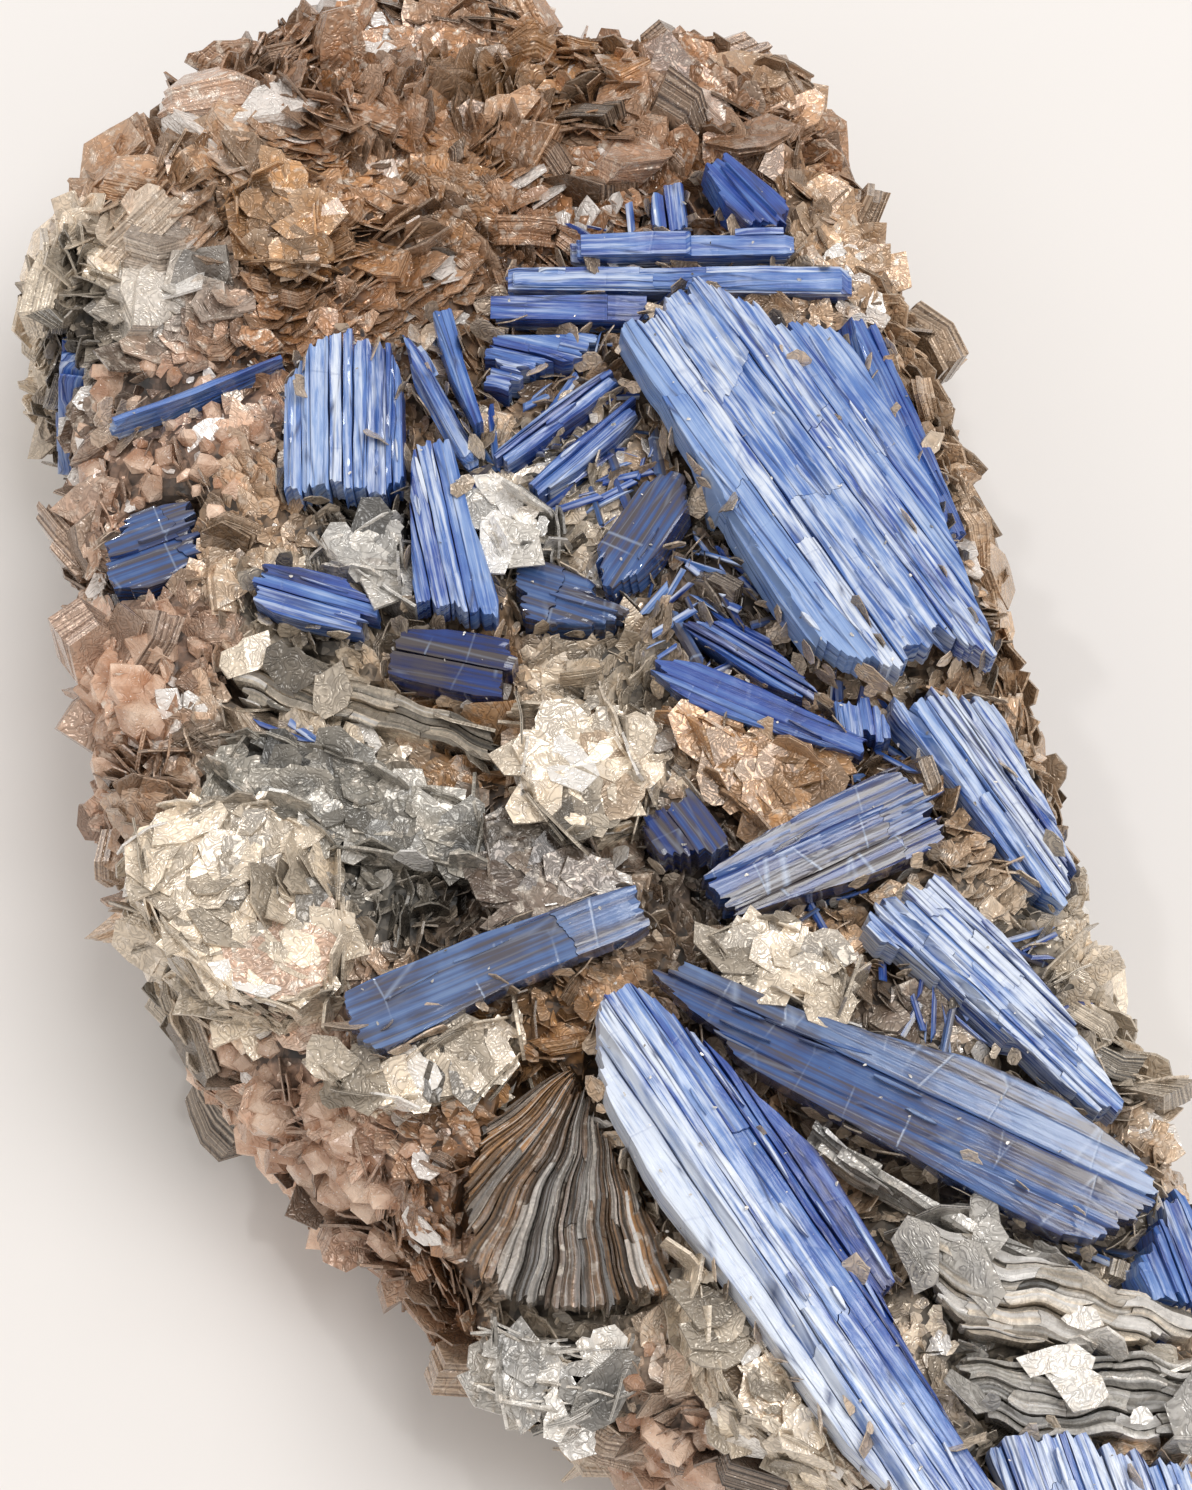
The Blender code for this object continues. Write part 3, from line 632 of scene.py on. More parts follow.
def piece_grid(look, rng, columns, v, ends, ridges, sink):
    """The plan and heights of one piece of a plate: (u, v, top, bottom), a row for each station along it."""
    kyanite = settings().kyanite
    first, last = ends
    rows = max(4, int((last - first).max() / kyanite.station) + 1)
    u = first + (last - first) * np.linspace(0, 1, rows)[:, None]
    top = np.stack([np.interp(u[:, n], *column[1][:2]) for n, column in enumerate(columns)], 1)
    under = np.stack([np.interp(u[:, n], *column[1][::2]) for n, column in enumerate(columns)], 1)
    if look.clear:
        top = 0.2 * top + 0.8 * top.mean(1, keepdims=True)
    level = sink + look.step * MM * 0.6 * rng.random()
    slope = rng.normal(0, 0.01)
    swell = 1 + 0.5 * np.sin(u * 900 + v * 3000 + rng.uniform(0, math.tau))
    height = top - level + slope * (u - u.mean()) + ridges * swell
    height += wobble(rng, u, (CLEAR_ROLL if look.clear else ROLL) * MM, 8 * MM)
    across = np.broadcast_to(v, u.shape) + wobble(rng, u, BEND * MM, 14 * MM)
    return u, across, height, np.maximum(under, height - kyanite.depth)


def add_slab(shape, bed, grid, values, rng):
    """A closed slab over a grid of a crystal's plan: its top, its sides and its flat underside."""
    u, v, height, under = grid
    rows, count = u.shape
    order = np.arange(rows * count).reshape(rows, count)
    edge = np.concatenate([order[:-1, 0], order[-1, :-1], order[:0:-1, -1], order[0, :0:-1]])
    top = bed.place(u, v, height).reshape(-1, 3)
    foot = bed.place(u.ravel()[edge], v.ravel()[edge], under.ravel()[edge])
    faces = []
    for i in range(rows - 1):
        for j in range(count - 1):
            faces.append((order[i, j], order[i + 1, j], order[i + 1, j + 1], order[i, j + 1]))
    base = rows * count
    for k, here in enumerate(edge):
        after = (k + 1) % len(edge)
        faces.append((here, base + k, base + after, edge[after]))
    faces.append(tuple(base + k for k in range(len(edge) - 1, -1, -1)))
    depth = (height - under).ravel()[edge]
    uv_along = np.concatenate([u.ravel(), u.ravel()[edge]])
    uv_across = np.concatenate([v.ravel(), v.ravel()[edge] + depth])
    uv = np.stack([uv_along, uv_across], 1)
    whole = {}
    for name, value in values.items():
        value = value.reshape(rows * count, *value.shape[2:])
        whole[name] = np.concatenate([value, value[edge]])
    shape.add(np.concatenate([top, foot]), faces, uv + rng.uniform(0, 1, 2), **whole)


# Millimetres: the shortest and longest splinter, and the thinnest and widest. The profile is its width from
# end to end as a share of that.
SPLINTER_LENGTHS = (1.5, 6)
SPLINTER_WIDTHS = (0.12, 0.4)
SPLINTER_PROFILE = (0.5, 1, 0.9, 0.8, 0.25)


def add_splinters(shape, bed, look, rng):
    """Thin needles that lie on the crystal, a little askew."""
    area = (bed.range_u[1] - bed.range_u[0]) * (bed.range_v[1] - bed.range_v[0])
    for _ in range(int(area / MM**2 * settings().kyanite.splinters)):
        u0 = rng.uniform(*bed.range_u)
        v0 = rng.uniform(*bed.range_v)
        length = rng.uniform(*SPLINTER_LENGTHS) * MM
        askew = math.tan(math.radians(rng.normal(0, 4)))
        levels = [bed.levels(u0 + t * length, v0 + t * length * askew) for t in (0, 0.5, 1)]
        if None in levels:
            continue
        u = np.linspace(u0, u0 + length, 5)
        middle = v0 + (u - u0) * askew
        width = rng.uniform(*SPLINTER_WIDTHS) * MM * np.array(SPLINTER_PROFILE)
        top = np.interp(u, [u0, u0 + length / 2, u0 + length], [level[0] for level in levels])
        top = top + rng.uniform(0.0, 0.16) * MM
        points, faces, uv = lath_strip(
            bed, u, (middle - width / 2, middle + width / 2), (top, top), top - 0.5 * MM,
            rng.uniform(-0.3, 0.3, 2) * MM, 0.03 * MM)
        # Splinters take their crystal's painted pearly sheen and a little more, painted in white as highlight
        shape.add(
            points, faces, uv + rng.uniform(0, 1, 2),
            deep=np.clip(look.deep + rng.normal(0, 0.12), 0, 1),
            frost=np.clip(look.frost + rng.normal(0.1, 0.15), 0, 1),
            tint=rng.random(),
        )


def make_blades(clear_finish, solid_finish):
    """One piece for each kyanite node."""
    for index, node in enumerate(sorted(frame["nodes"])):
        if not node.startswith("kyanite"):
            continue
        rng = np.random.default_rng(index)
        look = KYANITE_LOOKS.get(node, Kyanite())
        bed = Bed(node, look.heading)
        shape = Shape()
        add_plates(shape, bed, look, rng, blue_paint)
        add_splinters(shape, bed, look, rng)
        finish = clear_finish if look.clear else solid_finish
        finish_piece(shape.mesh(node + "_plates"), node + "_plates", finish, [node])


# Sheets: thin leaves of mica


def leaf(angles, reach, rings, height, thick):
    """(points, faces, rim) of a thin sheet about its middle: rings are shares of its reach at each angle."""
    count = len(angles)
    across = np.concatenate([[0]] + [share * reach * np.cos(angles) for share in rings])
    away = np.concatenate([[0]] + [share * reach * np.sin(angles) for share in rings])
    level = height(across, away)
    top = np.stack([across, away, level], 1)
    half = len(top)
    points = np.concatenate([top, top - [0, 0, thick]])
    faces = []
    for k in range(count):
        after = (k + 1) % count
        faces.append((0, 1 + k, 1 + after))
        faces.append((half, half + 1 + after, half + 1 + k))
        for ring in range(len(rings) - 1):
            a, b = 1 + ring * count + k, 1 + ring * count + after
            faces.append((a, a + count, b + count, b))
            faces.append((half + b, half + b + count, half + a + count, half + a))
        edge = 1 + (len(rings) - 1) * count
        faces.append((edge + k, half + edge + k, half + edge + after, edge + after))
    rim = np.concatenate([[0], np.zeros(count * (len(rings) - 1)), np.ones(count)])
    return points, faces, {"rim": np.concatenate([rim, rim]), "layer": np.repeat([0.8, 0.0], half)}


def ragged(rng, angles, size):
    """A share by which a torn outline varies with the angle."""
    total = np.zeros_like(angles)
    for turns in (2, 3, 5, 8, 13):
        total += rng.normal(0, size / turns**0.4) * np.sin(angles * turns + rng.uniform(0, math.tau))
    return total


def outline_reach(bed, middle, angles):
    """How far the solid goes from the middle of its plan at each angle."""
    found = []
    for angle in angles:
        distance = 0.3 * MM
        while bed.levels(middle[0] + distance * math.cos(angle), middle[1] + distance * math.sin(angle)):
            distance += 0.3 * MM
        found.append(distance)
    return np.array(found)


def cut_off(reach, angles, way, distance):
    """The reach at each angle where it is cut by a straight line that far off in one direction."""
    facing = np.cos(angles - way)
    return np.where(facing > 0.05, np.minimum(reach, distance / np.maximum(facing, 0.05)), reach)


# Where a sheet in a book has its rings of points, as shares of its reach, and the most cuts that it gets
BOOK_RINGS = (0.12, 0.25, 0.4, 0.55, 0.7, 0.82, 0.92, 1.0)
MOST_CUTS = 3.2


def bent_sheet(number, share, level, lean, tilt, wave, phases, top):
    """How high each point of a sheet in a book lies: waved, leant, and no higher than the solid's top."""

    def height(x, y):
        roll = np.sin(x * 700 + phases[0] + 2.5 * np.sin(y * 430 + phases[1])) * 0.6
        roll += np.sin(y * 1300 + phases[2] + 2 * np.sin(x * 800 + phases[3])) * 0.3
        roll += np.sin((x + y) * 2600 + number) * np.sin((x - 2 * y) * 1500) * 0.16
        here = level + wave * 0.5 * roll + x * lean[0] + y * lean[1] + tilt * np.hypot(x, y) * share
        return np.minimum(here, top + 0.2 * MM + 0.05 * roll * MM)

    return height


def add_book(shape, bed, look, rng):
    """A book of sheets that fills a mica solid, each torn and broken off a little differently."""
    angles = np.linspace(0, math.tau, 64, endpoint=False)
    middle = (sum(bed.range_u) / 2, sum(bed.range_v) / 2)
    if not bed.levels(*middle):
        middle = (0.0, 0.0)
    reach = outline_reach(bed, middle, angles)
    top, bottom = bed.levels(*middle) or (bed.high, bed.low)
    phases = rng.uniform(0, math.tau, 4)
    for k in range(look.sheets):
        share = (k + 1) / look.sheets
        level = bottom + (top - bottom) * share - 0.35 * MM
        lean = np.radians(rng.normal(0, look.tumble, 2)) * share
        torn = reach * (1 - rng.uniform(0.0, 0.08) + ragged(rng, angles, 0.02))
        for _ in range(int(MOST_CUTS * share)):
            torn = cut_off(torn, angles, rng.uniform(0, math.tau), reach.mean() * rng.uniform(0.25, 1.0))
        torn = np.maximum(torn, 0.3 * MM) * rng.uniform(0.97, 1.03, len(angles))
        shift = rng.normal(0, 0.2 * MM, 2)
        height = bent_sheet(k, share, level, lean, rng.normal(0, 0.05), look.wave * MM, phases, top)
        points, faces, values = leaf(angles, torn, BOOK_RINGS, height, settings().mica.sheet)
        local = points + [middle[0] + shift[0], middle[1] + shift[1], 0]
        blend = rng.random() ** 1.5
        colour = mica_colour(look.colour) * (1 - blend) + mica_colour(look.second) * blend
        values["layer"] = values["layer"] + 3 * k
        shape.add(
            bed.place(*local.T), faces, local[:, :2] + rng.uniform(0, 1, 2),
            body_colour=np.append(colour, 1.0), tint=rng.uniform(0.3, 0.75), **values)


# How bright mica on edge is: the mean, how much plates differ and how much the lines on one plate differ
Sheen = namedtuple("Sheen", "mean plates lines")
FAN_SHEEN = Sheen(0.45, 0.16, 0.2)
STACK_SHEEN = Sheen(0.68, 0.3, 0.1)
# The share of a fan's plates that are silvered, and how far
SILVER_PLATES = 0.3
SILVERED = 0.6


def edge_colour(mica, fan, across, rng, count):
    """The colours across a plate on edge. A fan's middle is its first colour, and some plates are silver."""
    blend = np.clip(rng.normal(0.5, 0.35, count), 0, 1)
    if fan:
        blend = np.clip(abs(across) * 1.6 - 0.2 + rng.normal(0, 0.25, count), 0, 1)
    first, second = mica_colour(mica.colour), mica_colour(mica.second)
    colour = first + blend[:, None] * (second - first)
    if fan and rng.random() < SILVER_PLATES:
        colour = colour * (1 - SILVERED) + mica_colour("silver") * SILVERED
    return np.concatenate([colour, np.ones((count, 1))], 1)


def edge_paint(mica, fan):
    """How mica seen on edge is painted: each plate a little different from the next."""
    sheen = FAN_SHEEN if fan else STACK_SHEEN

    def paint(look, across, rng):
        def values(lift):
            rows, count = lift.shape
            colour = edge_colour(mica, fan, across, rng, count)
            own = rng.normal(sheen.mean, sheen.plates)
            # Painted light and shade: lines that stand out are painted a little brighter, a plate's lowered
            # edges darker
            tint = np.clip(own + rng.normal(0, sheen.lines, count) + lift[0], 0.02, 0.97)
            return {
                "body_colour": np.broadcast_to(colour, (rows, count, 4)),
                "tint": np.broadcast_to(tint, (rows, count)),
                "rim": np.full((rows, count), 0.4),
                "layer": np.broadcast_to(rng.uniform(0, 99, count), (rows, count)),
            }

        return values

    return paint


def make_mica_books(finish):
    """One piece for each mica node but the block."""
    for index, node in enumerate(sorted(frame["nodes"])):
        if not node.startswith("mica") or node == "mica_matrix":
            continue
        rng = np.random.default_rng(100 + index)
        look = MICA_LOOKS[node]
        shape = Shape()
        if look.form == "sheets":
            add_book(shape, Bed(node), look, rng)
        elif look.form == "fan":
            bed = Bed(node, FAN_HEADING, FAN_HALF_ANGLE, look.wave)
            add_plates(shape, bed, FAN_EDGES, rng, edge_paint(look, True))
        else:
            add_plates(shape, Bed(node, wave=look.wave), EDGES, rng, edge_paint(look, False))
        finish_piece(shape.mesh(node + "_sheets"), node + "_sheets", finish, [node])


# Rock


# The noise that breaks up the borders takes its offsets from the clock unless it is seeded
BORDER_SEED = 7


def region_colours(points):
    """The mica colour at each point: the nearest regions' colours, their borders broken up by noise."""
    noise.seed_set(BORDER_SEED)
    total = np.zeros((len(points), 3))
    weight = np.full(len(points), 0.02)
    total += weight[:, None] * mica_colour("tan")
    jitter = np.array([noise.noise_vector(Vector(p) * 160) for p in points]) * 3.5 * MM
    moved = points + jitter
    for region in REGIONS:
        away = np.hypot(moved[:, 0] - region.place[0] * MM, moved[:, 1] - region.place[1] * MM)
        share = np.exp(-((away / (region.radius * MM)) ** 2) * 1.6)
        total += share[:, None] * mica_colour(region.colour)
        weight += share
    return total / weight[:, None]


def read_vertices(mesh, key="co"):
    found = np.empty(len(mesh.vertices) * 3, dtype=np.float32)
    mesh.vertices.foreach_get(key, found)
    return found.reshape(-1, 3).astype(float)


def roughness_at(place):
    """How far the rock stands out at a place, in millimetres: uneven all over, and in flat-topped lumps."""
    folds = noise.fractal(place * 260, 0.9, 2.1, 4)
    lumps = noise.cell(noise.voronoi(place * 330)[1][0] * 9)
    return 0.55 * folds + 0.35 * lumps


def make_rock_mesh():
    """The block's skin: an even fine grid, roughened."""
    edit = merged_copy("mica_matrix")
    mesh = bpy.data.meshes.new("rock")
    edit.to_mesh(mesh)
    edit.free()
    rock = bpy.data.objects.new("rock", mesh)
    bpy.context.scene.collection.objects.link(rock)
    even = rock.modifiers.new("Even faces", "REMESH")
    even.mode = "VOXEL"
    even.voxel_size = settings().mica.rock_grid
    graph = bpy.context.evaluated_depsgraph_get()
    skin = bpy.data.meshes.new_from_object(rock.evaluated_get(graph))
    bpy.data.objects.remove(rock)
    points, normals = read_vertices(skin), read_vertices(skin, "normal")
    rough = np.array([roughness_at(Vector(point)) for point in points])
    foot = np.clip(points[:, 2] / (2 * MM), 0, 1)
    points += normals * (rough * foot * MM)[:, None]
    points[:, 2] = np.maximum(points[:, 2], 0)
    skin.vertices.foreach_set("co", points.astype(np.float32).ravel())
    skin.update()
    return skin


def solids_mesh(nodes):
    """The solids of these nodes as one mesh."""
    joined = bmesh.new()
    for node in nodes:
        part = merged_copy(node)
        copy = bpy.data.meshes.new("solid")
        part.to_mesh(copy)
        part.free()
        joined.from_mesh(copy)
        bpy.data.meshes.remove(copy)
    mesh = bpy.data.meshes.new("solids")
    joined.to_mesh(mesh)
    joined.free()
    return mesh


def crystal_nodes(prefix=""):
    return [node for node in sorted(frame["nodes"]) if node.startswith(prefix) and node != "mica_matrix"]


# Millimetres: how near a crystal books get smaller, how near under one there are none, and up to what height
# over the floor there are none and they are smaller. The least sizes there are shares of the whole.
BESIDE = 4
UNDER = 0.9
BARE_FOOT = 1.6
LOW_FOOT = 5
LEAST_ROOM = 0.6
LEAST_FOOT_ROOM = 0.3
FACING_DOWN = -0.6


def mark_rock(skin):
    """Writes on the rock's skin its colour, how thickly books cover it and how much room they have."""
    points, normals = read_vertices(skin), read_vertices(skin, "normal")
    edit = bmesh.new()
    edit.from_mesh(solids_mesh(crystal_nodes()))
    tree = BVHTree.FromBMesh(edit)
    edit.free()
    cover = np.ones(len(points))
    room = np.ones(len(points))
    for k, (point, normal) in enumerate(zip(points, normals)):
        near = tree.find_nearest(Vector(point), BESIDE * MM)
        if near[0] is not None:
            room[k] = max(LEAST_ROOM, near[3] / (BESIDE * MM))
            inside = tree.ray_cast(Vector(point), Vector(normal), UNDER * MM)
            if inside[0] is not None:
                cover[k] = 0
    cover[normals[:, 2] < FACING_DOWN] = 0
    cover[points[:, 2] < BARE_FOOT * MM] = 0
    room = np.minimum(room, np.clip(points[:, 2] / (LOW_FOOT * MM), LEAST_FOOT_ROOM, 1))
    colour = np.concatenate([region_colours(points), np.ones((len(points), 1))], 1)
    write_value(skin, "body_colour", colour)
    write_value(skin, "cover", cover)
    write_value(skin, "room", room)


def foot_of_solids(nodes):
    """Solids that take crumbs round their feet, in the colours of the rock beside them."""
    mesh = solids_mesh(nodes)
    points = read_vertices(mesh)
    shares = []
    for node in nodes:
        part = merged_copy(node)
        heights = np.array([vertex.co.z for vertex in part.verts])
        part.free()
        shares.append(np.clip(1.25 - 1.25 * (heights - heights.min()) / np.ptp(heights), 0, 1))
    cover = np.concatenate(shares)
    colour = 0.5 * region_colours(points) + 0.5 * mica_colour("cream")
    write_value(mesh, "body_colour", np.concatenate([colour, np.ones((len(points), 1))], 1))
    write_value(mesh, "cover", cover)
    write_value(mesh, "room", np.ones(len(points)))
    return part_of_surface(mesh, lambda p, n: n.z < 0.5)


def marked_solids(nodes, colour_of_node, share=1.0):
    """Solids whose upper faces take scattered flakes, with a colour for each node."""
    whole = bmesh.new()
    colours = []
    for node in nodes:
        part = solids_mesh([node])
        colours += [colour_of_node(node)] * len(part.vertices)
        whole.from_mesh(part)
    mesh = bpy.data.meshes.new("marked")
    whole.to_mesh(mesh)
    whole.free()
    normals = read_vertices(mesh, "normal")
    write_value(mesh, "body_colour", np.concatenate([np.array(colours), np.ones((len(colours), 1))], 1))
    write_value(mesh, "cover", (np.abs(normals[:, 2]) > 0.15) * share)
    write_value(mesh, "room", np.ones(len(colours)))
    return mesh


# Scattered books, flakes and chips, by geometry nodes


def set_socket(tree, socket, value):
    if isinstance(value, bpy.types.NodeSocket):
        tree.links.new(value, socket)
    else:
        socket.default_value = value


def give(tree, node, values):
    """Sets a node's inputs by name, each to a value or a link."""
    for name, value in values.items():
        set_socket(tree, next(s for s in node.inputs if s.enabled and s.name == name), value)


def add_node(tree, kind, inputs=None, **options):
    """A node with its options set and its inputs given values or links."""
    node = tree.nodes.new(kind)
    for key, value in options.items():
        setattr(node, key, value)
    give(tree, node, inputs or {})
    return node


def output(node, name=None):
    """A node's shown output of that name, or its first."""
    return next(s for s in node.outputs if s.enabled and (name is None or s.name == name))


def math_of(tree, operation, *values, kind="ShaderNodeMath"):
    node = add_node(tree, kind, operation=operation)
    for socket, value in zip([s for s in node.inputs if s.enabled], values):
        set_socket(tree, socket, value)
    return output(node)


def vector_of(tree, operation, *values):
    return math_of(tree, operation, *values, kind="ShaderNodeVectorMath")


def total_of(tree, first, *others):
    for other in others:
        first = math_of(tree, "ADD", first, other)
    return first


def product_of(tree, first, *others):
    for other in others:
        first = math_of(tree, "MULTIPLY", first, other)
    return first


def stored_of(tree, name, kind="FLOAT"):
    """A value that the surface carries under that name."""
    stored = add_node(tree, "GeometryNodeInputNamedAttribute", {"Name": name}, data_type=kind)
    return output(stored, "Attribute")


def random_of(tree, seed, salt, low, high, kind="FLOAT"):
    """A random value for each place. The salt keeps those of one seed apart."""
    own = math_of(tree, "ADD", seed, salt)
    return output(add_node(
        tree, "FunctionNodeRandomValue", {"Min": low, "Max": high, "Seed": own}, data_type=kind))


# What the scatter tree is given: a kind of socket for each name
SCATTER_INPUTS = {
    "Geometry": "NodeSocketGeometry",
    "Things": "NodeSocketCollection",
    **{name: "NodeSocketFloat" for name in (
        "Spacing", "Density", "Smallest", "Largest", "Lean", "Sink", "Cells", "Stray")},
    "Seed": "NodeSocketInt",
    "Finish": "NodeSocketMaterial",
}


def scatter_sockets(tree):
    """The scatter tree's inputs, by name."""
    for name, kind in SCATTER_INPUTS.items():
        tree.interface.new_socket(name=name, in_out="INPUT", socket_type=kind)
    tree.interface.new_socket(name="Geometry", in_out="OUTPUT", socket_type="NodeSocketGeometry")
    given = tree.nodes.new("NodeGroupInput")
    return {name: given.outputs[name] for name in SCATTER_INPUTS}


def facing(tree, want, normal, cell, cell_turn):
    """How each thing is turned: off the surface, leant and spun as its cell is, and a little astray."""
    chance = random_of(tree, want["Seed"], 1, (-1, -1, -1), (1, 1, 1), "FLOAT_VECTOR")
    together = vector_of(tree, "SCALE", cell, want["Lean"])
    astray = vector_of(tree, "SCALE", chance, want["Stray"])
    axis = vector_of(tree, "ADD", vector_of(tree, "ADD", normal, together), astray)
    stand = add_node(tree, "FunctionNodeAlignRotationToVector", {"Vector": axis}, axis="Z")
    stray = product_of(tree, random_of(tree, want["Seed"], 2, -math.pi, math.pi), want["Stray"])
    angle = math_of(tree, "MULTIPLY_ADD", cell_turn, math.pi, stray)
    spin = add_node(tree, "FunctionNodeAxisAngleToRotation", {"Axis": (0, 0, 1), "Angle": angle})
    return output(add_node(
        tree, "FunctionNodeRotateRotation", {"Rotation": output(stand), "Rotate By": output(spin)},
        rotation_space="LOCAL"))


def placed_things(tree, want, spots, rotation):
    """The things on their spots, each of its own size and sunk by its own depth."""
    room = stored_of(tree, "room")
    down = vector_of(tree, "SCALE", output(spots, "Normal"), product_of(tree, want["Sink"], room))
    kept = add_node(
        tree, "GeometryNodeStoreNamedAttribute",
        {"Geometry": output(spots, "Points"), "Name": "drop", "Value": down},
        data_type="FLOAT_VECTOR", domain="POINT")
    size = product_of(tree, random_of(tree, want["Seed"], 3, want["Smallest"], want["Largest"]), room)
    pick = add_node(
        tree, "GeometryNodeCollectionInfo", {"Collection": want["Things"], "Separate Children": True})
    placed = add_node(
        tree, "GeometryNodeInstanceOnPoints",
        {"Points": output(kept), "Instance": output(pick), "Pick Instance": True,
         "Instance Index": random_of(tree, want["Seed"], 4, 0, 999, "INT"), "Rotation": rotation,
         "Scale": size})
    return output(add_node(
        tree, "GeometryNodeTranslateInstances",
        {"Instances": output(placed), "Translation": stored_of(tree, "drop", "FLOAT_VECTOR"),
         "Local Space": False}))


# How bright a scattered thing is, from least to most, and how much its cell adds or takes
DARKEST = 0.28
LIGHTEST = 0.75
CELL_TONE = 0.28


def scatter_tree():
    """Sets things from a collection on a surface. Those in one cell of a cell pattern lean the same way."""
    tree = bpy.data.node_groups.new("Scatter on rock", "GeometryNodeTree")
    want = scatter_sockets(tree)
    spots = add_node(
        tree, "GeometryNodeDistributePointsOnFaces",
        {"Mesh": want["Geometry"], "Distance Min": want["Spacing"], "Density Max": want["Density"],
         "Density Factor": stored_of(tree, "cover"), "Seed": want["Seed"]},
        distribute_method="POISSON")
    pattern = add_node(tree, "ShaderNodeTexVoronoi", {"Scale": want["Cells"]})
    cell = vector_of(tree, "MULTIPLY_ADD", pattern.outputs["Color"], (2, 2, 2), (-1, -1, -1))
    parts = add_node(tree, "ShaderNodeSeparateXYZ", {"Vector": cell})
    rotation = facing(tree, want, output(spots, "Normal"), cell, parts.outputs["Y"])
    placed = placed_things(tree, want, spots, rotation)
    own_tone = random_of(tree, want["Seed"], 5, DARKEST, LIGHTEST)
    tone = math_of(tree, "MULTIPLY_ADD", parts.outputs["Z"], CELL_TONE, own_tone)
    tinted = add_node(
        tree, "GeometryNodeStoreNamedAttribute", {"Geometry": placed, "Name": "tint", "Value": tone},
        data_type="FLOAT", domain="INSTANCE")
    real = add_node(tree, "GeometryNodeRealizeInstances", {"Geometry": output(tinted)})
    painted = add_node(
        tree, "GeometryNodeSetMaterial", {"Geometry": output(real), "Material": want["Finish"]})
    tree.links.new(output(painted), tree.nodes.new("NodeGroupOutput").inputs["Geometry"])
    return tree


# How far scattered things may stand out past the CAD model, as a share of its size, and how high over the
# floor they stay, in millimetres
PAST_BOX = 0.02
OFF_FLOOR = 0.05


def scatter(tree, surface, things, **inputs):
    """The scattered things as one plain mesh."""
    holder = bpy.data.objects.new("scatter", surface)
    bpy.context.scene.collection.objects.link(holder)
    modifier = holder.modifiers.new("Scatter", "NODES")
    modifier.node_group = tree
    named = {s.name: s.identifier for s in tree.interface.items_tree if s.in_out == "INPUT"}
    for name, value in {"Things": things, **inputs}.items():
        modifier[named[name]] = value
    graph = bpy.context.evaluated_depsgraph_get()
    mesh = bpy.data.meshes.new_from_object(holder.evaluated_get(graph))
    bpy.data.objects.remove(holder)
    for spare in ("cover", "room", "drop"):
        if spare in mesh.attributes:
            mesh.attributes.remove(mesh.attributes[spare])
    points = read_vertices(mesh)
    low, high = (np.array(corner) for corner in CAD_BOX)
    past = PAST_BOX * (high - low)
    points = np.clip(points, low - past, high + past)
    points[:, 2] = np.maximum(points[:, 2], OFF_FLOOR * MM)
    mesh.vertices.foreach_set("co", points.astype(np.float32).ravel())
    mesh.update()
    return mesh


# How far from its middle a sheet is cut off, at least and at most, as shares of its width
CUTS = (0.15, 0.5)
# How much of a sheet's step is sheet. The rest is the groove over it.
SHEET_SHARE = 0.72


def random_cut(rng, reach, angles):
    return cut_off(reach, angles, rng.uniform(0, math.tau), rng.uniform(*CUTS))


def chunk(rng, sheets, spokes, step):
    """A closed stack of bent sheets with grooves between them, one unit wide."""
    angles = (np.arange(spokes) + rng.uniform(-0.36, 0.36, spokes)) * math.tau / spokes
    oval = 0.5 * (1 + 0.25 * np.cos(2 * (angles - rng.uniform(0, math.pi)))) * rng.uniform(0.85, 1.12, spokes)
    bend, fold, way = rng.normal(0, 0.45), rng.normal(0, 0.22), rng.uniform(0, math.tau)
    slide = rng.normal(0, 0.035, 2)
    rings = []
    for sheet in range(sheets):
        torn = oval * rng.uniform(0.86, 1.04) * rng.uniform(0.95, 1.05, spokes)
        if sheet > sheets / 2:
            torn = random_cut(rng, torn, angles)
        for level in (sheet, sheet + SHEET_SHARE):
            rings.append((torn * np.cos(angles), torn * np.sin(angles), level))
    flat = []
    for x, y, level in rings:
        flat.append(np.stack([x + slide[0] * level, y + slide[1] * level, np.full(spokes, level)], 1))
    middles = [flat[0].mean(0), flat[-1].mean(0)]
    points = np.concatenate([*flat, middles])
    turned = points[:, 0] * math.cos(way) + points[:, 1] * math.sin(way)
    layer = points[:, 2].copy()
    points[:, 2] = (points[:, 2] - sheets * 0.5) * step + bend * turned**2 + fold * np.abs(turned)
    faces = []
    top, bottom = len(points) - 1, len(points) - 2
    last = (len(rings) - 1) * spokes
    for k in range(spokes):
        after = (k + 1) % spokes
        for ring in range(0, last, spokes):
            faces.append((ring + k, ring + after, ring + spokes + after, ring + spokes + k))
        faces.append((top, last + k, last + after))
        faces.append((bottom, after, k))
    rim = np.concatenate([np.ones(len(points) - 2), [0, 0]])
    return points, faces, {"rim": rim, "layer": layer}


def sheet(rng, curl):
    """A thin torn sheet, bent by about its curl, one unit wide."""
    spokes = 10
    angles = (np.arange(spokes) + rng.uniform(-0.4, 0.4, spokes)) * math.tau / spokes
    long = rng.uniform(0.1, 0.45)
    torn = 0.5 * (1 + long * np.cos(2 * (angles - rng.uniform(0, math.pi)))) * rng.uniform(0.75, 1.15, spokes)
    torn = random_cut(rng, torn, angles)
    bend, fold, way = rng.normal(0, curl), rng.normal(0, 0.6 * curl), rng.uniform(0, math.tau)

    def height(x, y):
        turned = x * math.cos(way) + y * math.sin(way)
        return bend * turned**2 + fold * np.abs(turned)

    return leaf(angles, torn, (1.0,), height, rng.uniform(0.03, 0.06))


# A chip's four corners, as shares of its half width and of its height
CHIP_PROFILE = ((-1, -0.5), (1, -0.4), (0.6, 0.75), (-0.8, 0.6))


